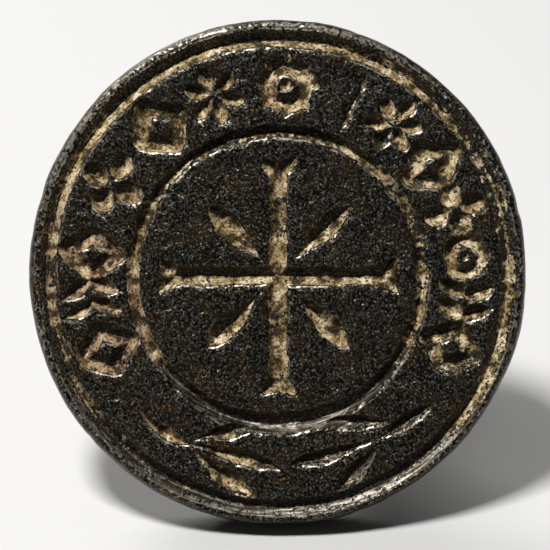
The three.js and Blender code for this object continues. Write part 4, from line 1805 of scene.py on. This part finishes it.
def weathered(shell: Shell, seed: int, edge: float = 0.06, filing: float = 0.03) -> Shell:
    """Gives a casting its hand-filed unevenness, and finds its worn edges and its hollows.

    A point stands proud where it lies outside the same skin relaxed many times, and in a hollow where it
    lies inside it.

    Args:
        shell: the casting.
        seed: picks its noise.
        edge: how far a fully worn edge stands proud, in millimetres.
        filing: height of the unevenness, in millimetres.

    Returns:
        The shell with its numbers for wear and hollow.
    """
    normal = point_normals(shell.points, shell.quads)
    proud, broad = (((shell.points - relaxed(shell.points, shell.quads, times)) * normal).sum(axis=1)
                    for times in (24, 120))
    uneven = layered_noise(shell.points, 1.7, 3, seed)
    pits = smooth_step(0.5, 0.85, lattice_noise(shell.points, 0.42, seed + 9))
    shell.points = shell.points + normal * (filing * uneven - 0.035 * pits)[:, None]
    wear = 0.14 + 0.75 * share_of(proud / edge) + 0.22 * np.clip(broad / (2 * edge), -1, 1)
    wear += 0.16 * layered_noise(shell.points, 2.4, 3, seed + 3)
    hollow = share_of(-proud / edge) + 0.5 * share_of(-broad / (2.5 * edge))
    shell.layers = {"wear": share_of(wear), "hollow": share_of(hollow)}
    return shell


@dataclass
class HingeSaddle:
    """The foot brazed to the back, its two ears, and the bead of braze round the foot."""

    die: DieFrame
    foot_front: float = 3.45
    foot_thickness: float = 1.2
    bevel: float = 0.22
    half_width: float = 5.52
    half_height: float = 4.2
    cant: float = 1.7
    ear_centre: float = 3.47
    ear_thickness: float = 1.7
    ear_radius: float = 2.35
    ear_root: float = 3.3
    ear_roll: float = 0.12
    bead_columns: int = 480

    def foot_outline(self, angles: Array, grow: float = 0.0) -> Array:
        """The foot's outline: the nearest of its four sides and its four canted corners.

        Args:
            angles: directions from its middle.
            grow: how much larger than the foot it is, in millimetres.

        Returns:
            Its radius for each angle.
        """
        c, s = np.abs(directions(angles)).T
        reach = self.half_width + self.half_height - self.cant
        flank = ((self.half_width + grow) / np.maximum(c, 1e-6)).clip(0, 40)
        end = ((self.half_height + grow) / np.maximum(s, 1e-6)).clip(0, 40)
        return smooth_min(smooth_min(flank, end, 0.5), (reach + 1.4 * grow) / (c + s), 0.5)

    def foot(self) -> Shell:
        """The foot: its outline at the plate, up its side, at its bevelled edge and on its back.

        Returns:
            A closed shell.
        """
        angles = all_round(160)
        outline = self.foot_outline(angles)
        depths = (0.0, 0.35, 0.7, self.foot_thickness - self.bevel, self.foot_thickness)
        insets = (0.0, 0.0, 0.0, 0.0, self.bevel)
        return capped_rows(np.array([
            at_depth((outline - inset)[:, None] * directions(angles), self.foot_front + depth)
            for inset, depth in zip(insets, depths)
        ]))

    def ear(self, side: int) -> Shell:
        """An ear: round about the pin, with straight flanks that run down into the foot.

        Args:
            side: -1 for the ear at the left of the face, 1 for the other.

        Returns:
            A closed shell.
        """
        above_foot = PIN_DEPTH - self.foot_front - self.foot_thickness
        bottom = PIN_DEPTH - self.foot_front - self.foot_thickness / 2
        lean = math.atan2(self.ear_root - self.ear_radius, above_foot)

        def outline(angles: Array) -> Array:
            """The ear's outline about the pin: a round, straight flanks, and a floor within the foot.

            Args:
                angles: directions from the pin. An angle of 0 points away from the foot.

            Returns:
                Its radius for each angle.
            """
            flank = np.abs((angles + np.pi) % (2 * np.pi) - np.pi) - (np.pi / 2 + lean)
            straight = self.ear_radius / np.maximum(np.cos(np.clip(flank, 0, 1.5)), 1e-3)
            floor = bottom / np.maximum(-np.cos(angles), 1e-3)
            return np.where(flank > 0, np.minimum(straight, floor), self.ear_radius)

        grid = pierced_plate(outline, PIN_HOLE, self.ear_thickness / 2, self.ear_roll, 144)
        along, up, thick = np.moveaxis(grid, 2, 0)
        return ring_shell(np.stack([thick + side * self.ear_centre, up, along + PIN_DEPTH], axis=2))

    def bead(self) -> bpy.types.Object:
        """The braze that ran out round the foot: a thin uneven bead carried round its outline.

        Returns:
            The piece.
        """
        angles = all_round(self.bead_columns)
        ray = directions(angles)
        path = at_depth(self.foot_outline(angles, 0.05)[:, None] * ray, self.foot_front - 0.02)
        thick = 0.2 + 0.07 * layered_noise(path, 0.9, 2, 131) + 0.05 * layered_noise(path, 2.6, 1, 133)
        cosine, sine = directions(all_round(12)).T[:, :, None, None]
        section = cosine * at_depth(ray, 0.0) + sine * np.array([0, 0, 1.0])
        shell = ring_shell(path[None] + thick[None, :, None] * section)
        shell.layers = {
            "wear": 0.35 + 0.3 * layered_noise(shell.points, 0.8, 2, 135),
            "hollow": 0.3 + 0.3 * layered_noise(shell.points, 0.6, 2, 137),
        }
        return mesh_object("braze_bead", shell, self.die)

    def build(self) -> None:
        """Makes the saddle and its braze and dresses them."""
        casting = weathered(cast_in_one([self.foot(), self.ear(-1), self.ear(1)], 4), 141)
        saddle = mesh_object("saddle_casting", casting, self.die)
        finished(saddle, WornBronze("worn_bronze_saddle").material(), "die", "worn_bronze", "hinge_saddle")
        braze = WornBronze("braze_metal", dark=(0.09, 0.062, 0.03), brown=(0.16, 0.11, 0.05),
                           bare=(0.5, 0.36, 0.17), polish=0.42)
        finished(self.bead(), braze.material(), "die", "worn_bronze")


@dataclass
class HingePin:
    """The pin through the hinge, its ends hammered over into low domes."""

    die: DieFrame
    columns: int = 72
    radius: float = 0.95
    seat: float = 4.36
    dome_radius: float = 1.6
    dome_height: float = 0.65

    def build(self) -> None:
        """Turns the pin's profile about its axis, facets the domes with hammer blows and dresses it."""
        quarter = np.linspace(0.02, np.pi / 2, 14)
        radii = np.concatenate([
            self.dome_radius * np.sin(quarter),
            [self.dome_radius * 0.98, self.radius + 0.1],
            np.full(9, self.radius),
        ])
        places = np.concatenate([
            self.seat + self.dome_height * np.cos(quarter),
            [self.seat - 0.02, self.seat - 0.03],
            np.linspace(self.seat - 0.1, 0, 9),
        ])
        # the other half of the profile is the same, mirrored
        radii = np.concatenate([radii, radii[-2::-1]])[:, None]
        places = np.concatenate([places, -places[-2::-1]])[:, None]
        cosine, sine = directions(all_round(self.columns)).T
        along = np.repeat(places, self.columns, axis=1)
        shell = capped_rows(np.stack([along, radii * cosine, radii * sine + PIN_DEPTH], axis=2))

        at_dome = smooth_step(self.seat - 0.1, self.seat + 0.15, np.abs(shell.points[:, 0]))
        outward = shell.points - (shell.points * (1, 0, 0) + (0, 0, PIN_DEPTH))
        blows = layered_noise(shell.points, 0.75, 2, 151)
        shell.points = shell.points + outward * (0.05 * blows * at_dome)[:, None]
        shell.points[:, 0] -= np.sign(shell.points[:, 0]) * 0.06 * np.abs(blows) * at_dome
        shell.layers = {"wear": share_of(0.45 + 0.35 * blows), "hollow": share_of(0.5 - 2.0 * at_dome + 0.3)}
        pin = mesh_object("hammered_pin", shell, self.die)
        finish = WornBronze("pin_bronze", dark=(0.05, 0.034, 0.02), brown=(0.12, 0.075, 0.037), polish=0.3)
        finished(pin, finish.material(), "die", "pin_bronze", "hinge_pin")


@dataclass
class FoldingHandle:
    """The handle, cast in one: knuckle and heel, tapering shank, neck moulding and pierced lobed head.

    The two halves of a section are half its width and half its thickness.
    """

    die: DieFrame
    knuckle_radius: float = 2.3
    knuckle_width: float = 5.0
    knuckle_roll: float = 0.14
    heel_start: float = 4.75
    root_halves: Span = (2.3, 1.45)
    neck_halves: Span = (1.65, 1.05)
    middle_bead: float = 0.55
    side_bead: float = 0.2
    bead_spacing: float = 0.86
    head_depth: float = 23.3
    head_half: float = 1.1
    head_core: float = 5.3
    head_roll: float = 0.42
    lobe_radius: float = 3.1
    lobe_distance: float = 4.8
    eye: float = 3.7

    def knuckle(self) -> Shell:
        """The barrel about the pin.

        Returns:
            A closed shell.
        """
        grid = pierced_plate(lambda a: np.full(len(a), self.knuckle_radius), PIN_HOLE,
                             self.knuckle_width / 2, self.knuckle_roll)
        along, up, thick = np.moveaxis(grid, 2, 0)
        return ring_shell(np.stack([thick, up, along + PIN_DEPTH], axis=2))

    def heel(self) -> Shell:
        """The heel under the knuckle, which stops against the foot: a block with soft corners.

        Returns:
            A closed shell.
        """
        half_height = np.full(8, (self.knuckle_radius - PIN_HOLE - 0.06) / 2)
        x, y = rounded_section(64, np.full(8, self.knuckle_width / 2), half_height, 9)
        y = y - (self.knuckle_radius - half_height[:, None])
        return barred(x, y, np.linspace(self.heel_start, PIN_DEPTH, 8))

    def shank(self) -> Shell:
        """The shank: soft-cornered sections that taper to the neck, swelling to three beads at the moulding.

        Each half of a section is a straight taper plus bells at the depths of the beads.

        Returns:
            A closed shell.
        """
        root, neck = PIN_DEPTH + PIN_HOLE, self.head_depth - self.head_core + 0.6
        depths = np.linspace(root, neck, 150)
        t = (depths - root) / (neck - root)
        middle = self.head_depth - self.head_core - 1.6
        swell = self.middle_bead * np.exp(-np.abs((depths - middle) / 0.42) ** 3)
        for side in (-1, 1):
            swell += self.side_bead * bump_at(depths, middle + side * self.bead_spacing, 0.16)
        halves = [start + (end - start) * t + swell for start, end in zip(self.root_halves, self.neck_halves)]
        x, y = rounded_section(72, *halves, 3.4)
        return barred(x, y, depths)

    def head_outline(self, angles: Array) -> Array:
        """The head's outline: the farther of a core circle and four lobes on the diagonals.

        Args:
            angles: directions from its middle.

        Returns:
            Its radius for each angle.
        """
        turn = (angles % (np.pi / 2)) - np.pi / 4
        under = self.lobe_radius ** 2 - (self.lobe_distance * np.sin(turn)) ** 2
        lobe = self.lobe_distance * np.cos(turn) + np.sqrt(np.maximum(under, 0))
        return smooth_max(np.where(under > 0, lobe, 0.0), self.head_core, 0.12)

    def head(self) -> Shell:
        """The pierced lobed head, lying flat at the end of the shank."""
        grid = pierced_plate(self.head_outline, self.eye, self.head_half, self.head_roll, 288)
        return ring_shell(grid[..., [0, 2, 1]] + (0, 0, self.head_depth))

    def build(self) -> None:
        """Casts the handle in one skin and dresses it."""
        casting = weathered(cast_in_one([self.knuckle(), self.heel(), self.shank(), self.head()], 3), 161)
        handle = mesh_object("handle_casting", casting, self.die)
        finished(handle, WornBronze("worn_bronze_handle").material(), "handle", "worn_bronze", "handle")


# Floor, lamps and camera

class Lamp(NamedTuple):
    """A square lamp: its name, its distance from the die and its side in metres, and its power in watts."""

    name: str
    distance: float
    side: float
    watts: float


@dataclass
class Studio:
    """A pale floor, a soft lamp that rakes the face from above, one for the back, and the camera."""

    die: DieFrame
    floor_reach: float = 3.0
    key: Lamp = Lamp("key_lamp", 0.5, 0.09, 3.8)
    key_slant: float = 54.0
    key_turn: float = 20.0
    behind: Lamp = Lamp("back_lamp", 0.6, 0.3, 3.0)
    behind_from: tuple[float, float, float] = (-0.45, 0.75, 0.55)
    dim: float = 0.05
    haze: float = 0.6
    haze_heights: Span = (0.03, 0.3)
    frame_width: float = 33.05
    focal_length: float = 150.0
    sensor: float = 36.0
    widest_depth: float = 1.2
    aim: Span = (-0.18, -0.18)
    clip: Span = (0.005, 20)

    def floor(self) -> None:
        """Lays the floor, a large square under the object."""
        reach = self.floor_reach
        corners = [(-reach, -reach, 0), (reach, -reach, 0), (reach, reach, 0), (-reach, reach, 0)]
        mesh = bpy.data.meshes.new("floor")
        mesh.from_pydata(corners, [], [(0, 1, 2, 3)])
        mesh.materials.append(PaleFloor().material())
        linked("floor", mesh)

    def hang(self, lamp: Lamp, direction: Vector) -> None:
        """Hangs a lamp, turned to the middle of the face.

        Args:
            lamp: its sizes.
            direction: where it hangs, seen from there.
        """
        light = bpy.data.lights.new(lamp.name, "AREA")
        light.shape = "SQUARE"
        light.size = lamp.side
        light.energy = lamp.watts
        hung = linked(lamp.name, light)
        hung.location = self.die.centre + direction.normalized() * lamp.distance
        hung.rotation_euler = direction.to_track_quat("Z", "Y").to_euler()

    def lamps(self) -> None:
        """Hangs the lamps: the key over the top of the face, a little to the left, and one behind."""
        slant, turn = math.radians(self.key_slant), math.radians(self.key_turn)
        over = self.die.up * math.cos(turn) - self.die.across * math.sin(turn)
        self.hang(self.key, -self.die.inward * math.cos(slant) + over * math.sin(slant))
        self.hang(self.behind, Vector(self.behind_from))

    def world(self) -> None:
        """Sets a dim world, which the camera and mirrored rays see with a pale band at the horizon."""
        world = bpy.data.worlds.new("studio")
        world.use_nodes = True
        bench = NodeBench(world.node_tree)
        split = bench.new("SeparateXYZ")
        bench.feed(split.inputs[0], bench.new("TexCoord").outputs["Generated"])
        band = bench.between(split.outputs["Z"], *self.haze_heights, self.haze, self.dim)
        background = bench.tree.nodes["Background"]
        bench.feed(background.inputs["Color"], bench.blended(bench.seen(), self.dim, band))
        background.inputs["Strength"].default_value = 1.0
        bpy.context.scene.world = world

    def camera(self) -> None:
        """Sets the camera square to the face, far enough for the frame to be as wide as the photograph's."""
        data = bpy.data.cameras.new("camera")
        data.lens = self.focal_length
        data.sensor_width = self.sensor
        data.sensor_fit = "HORIZONTAL"
        data.clip_start, data.clip_end = self.clip
        camera = linked("camera", data)
        distance = self.frame_width * self.focal_length / self.sensor
        at = np.array([[*self.aim, self.widest_depth - distance]])
        turn = Matrix((self.die.across, self.die.up, -self.die.inward)).transposed()
        camera.matrix_world = Matrix.Translation(Vector(self.die.place(at)[0])) @ turn.to_4x4()
        bpy.context.scene.camera = camera

    def build(self) -> None:
        """Sets the stage."""
        self.floor()
        self.lamps()
        self.world()
        self.camera()
        bpy.context.scene.view_settings.view_transform = "Standard"
        log.info("studio: floor, two lamps, camera")


def main() -> None:
    """Builds the studio and the pieces in order."""
    logging.basicConfig(level=logging.INFO, format="%(message)s")
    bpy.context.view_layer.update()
    die = DieFrame.from_record(frame["record"])
    Studio(die).build()
    DiePlate(die).build()
    HingeSaddle(die).build()
    HingePin(die).build()
    FoldingHandle(die).build()
    bpy.context.view_layer.update()


if __name__ == "__main__":
    main()
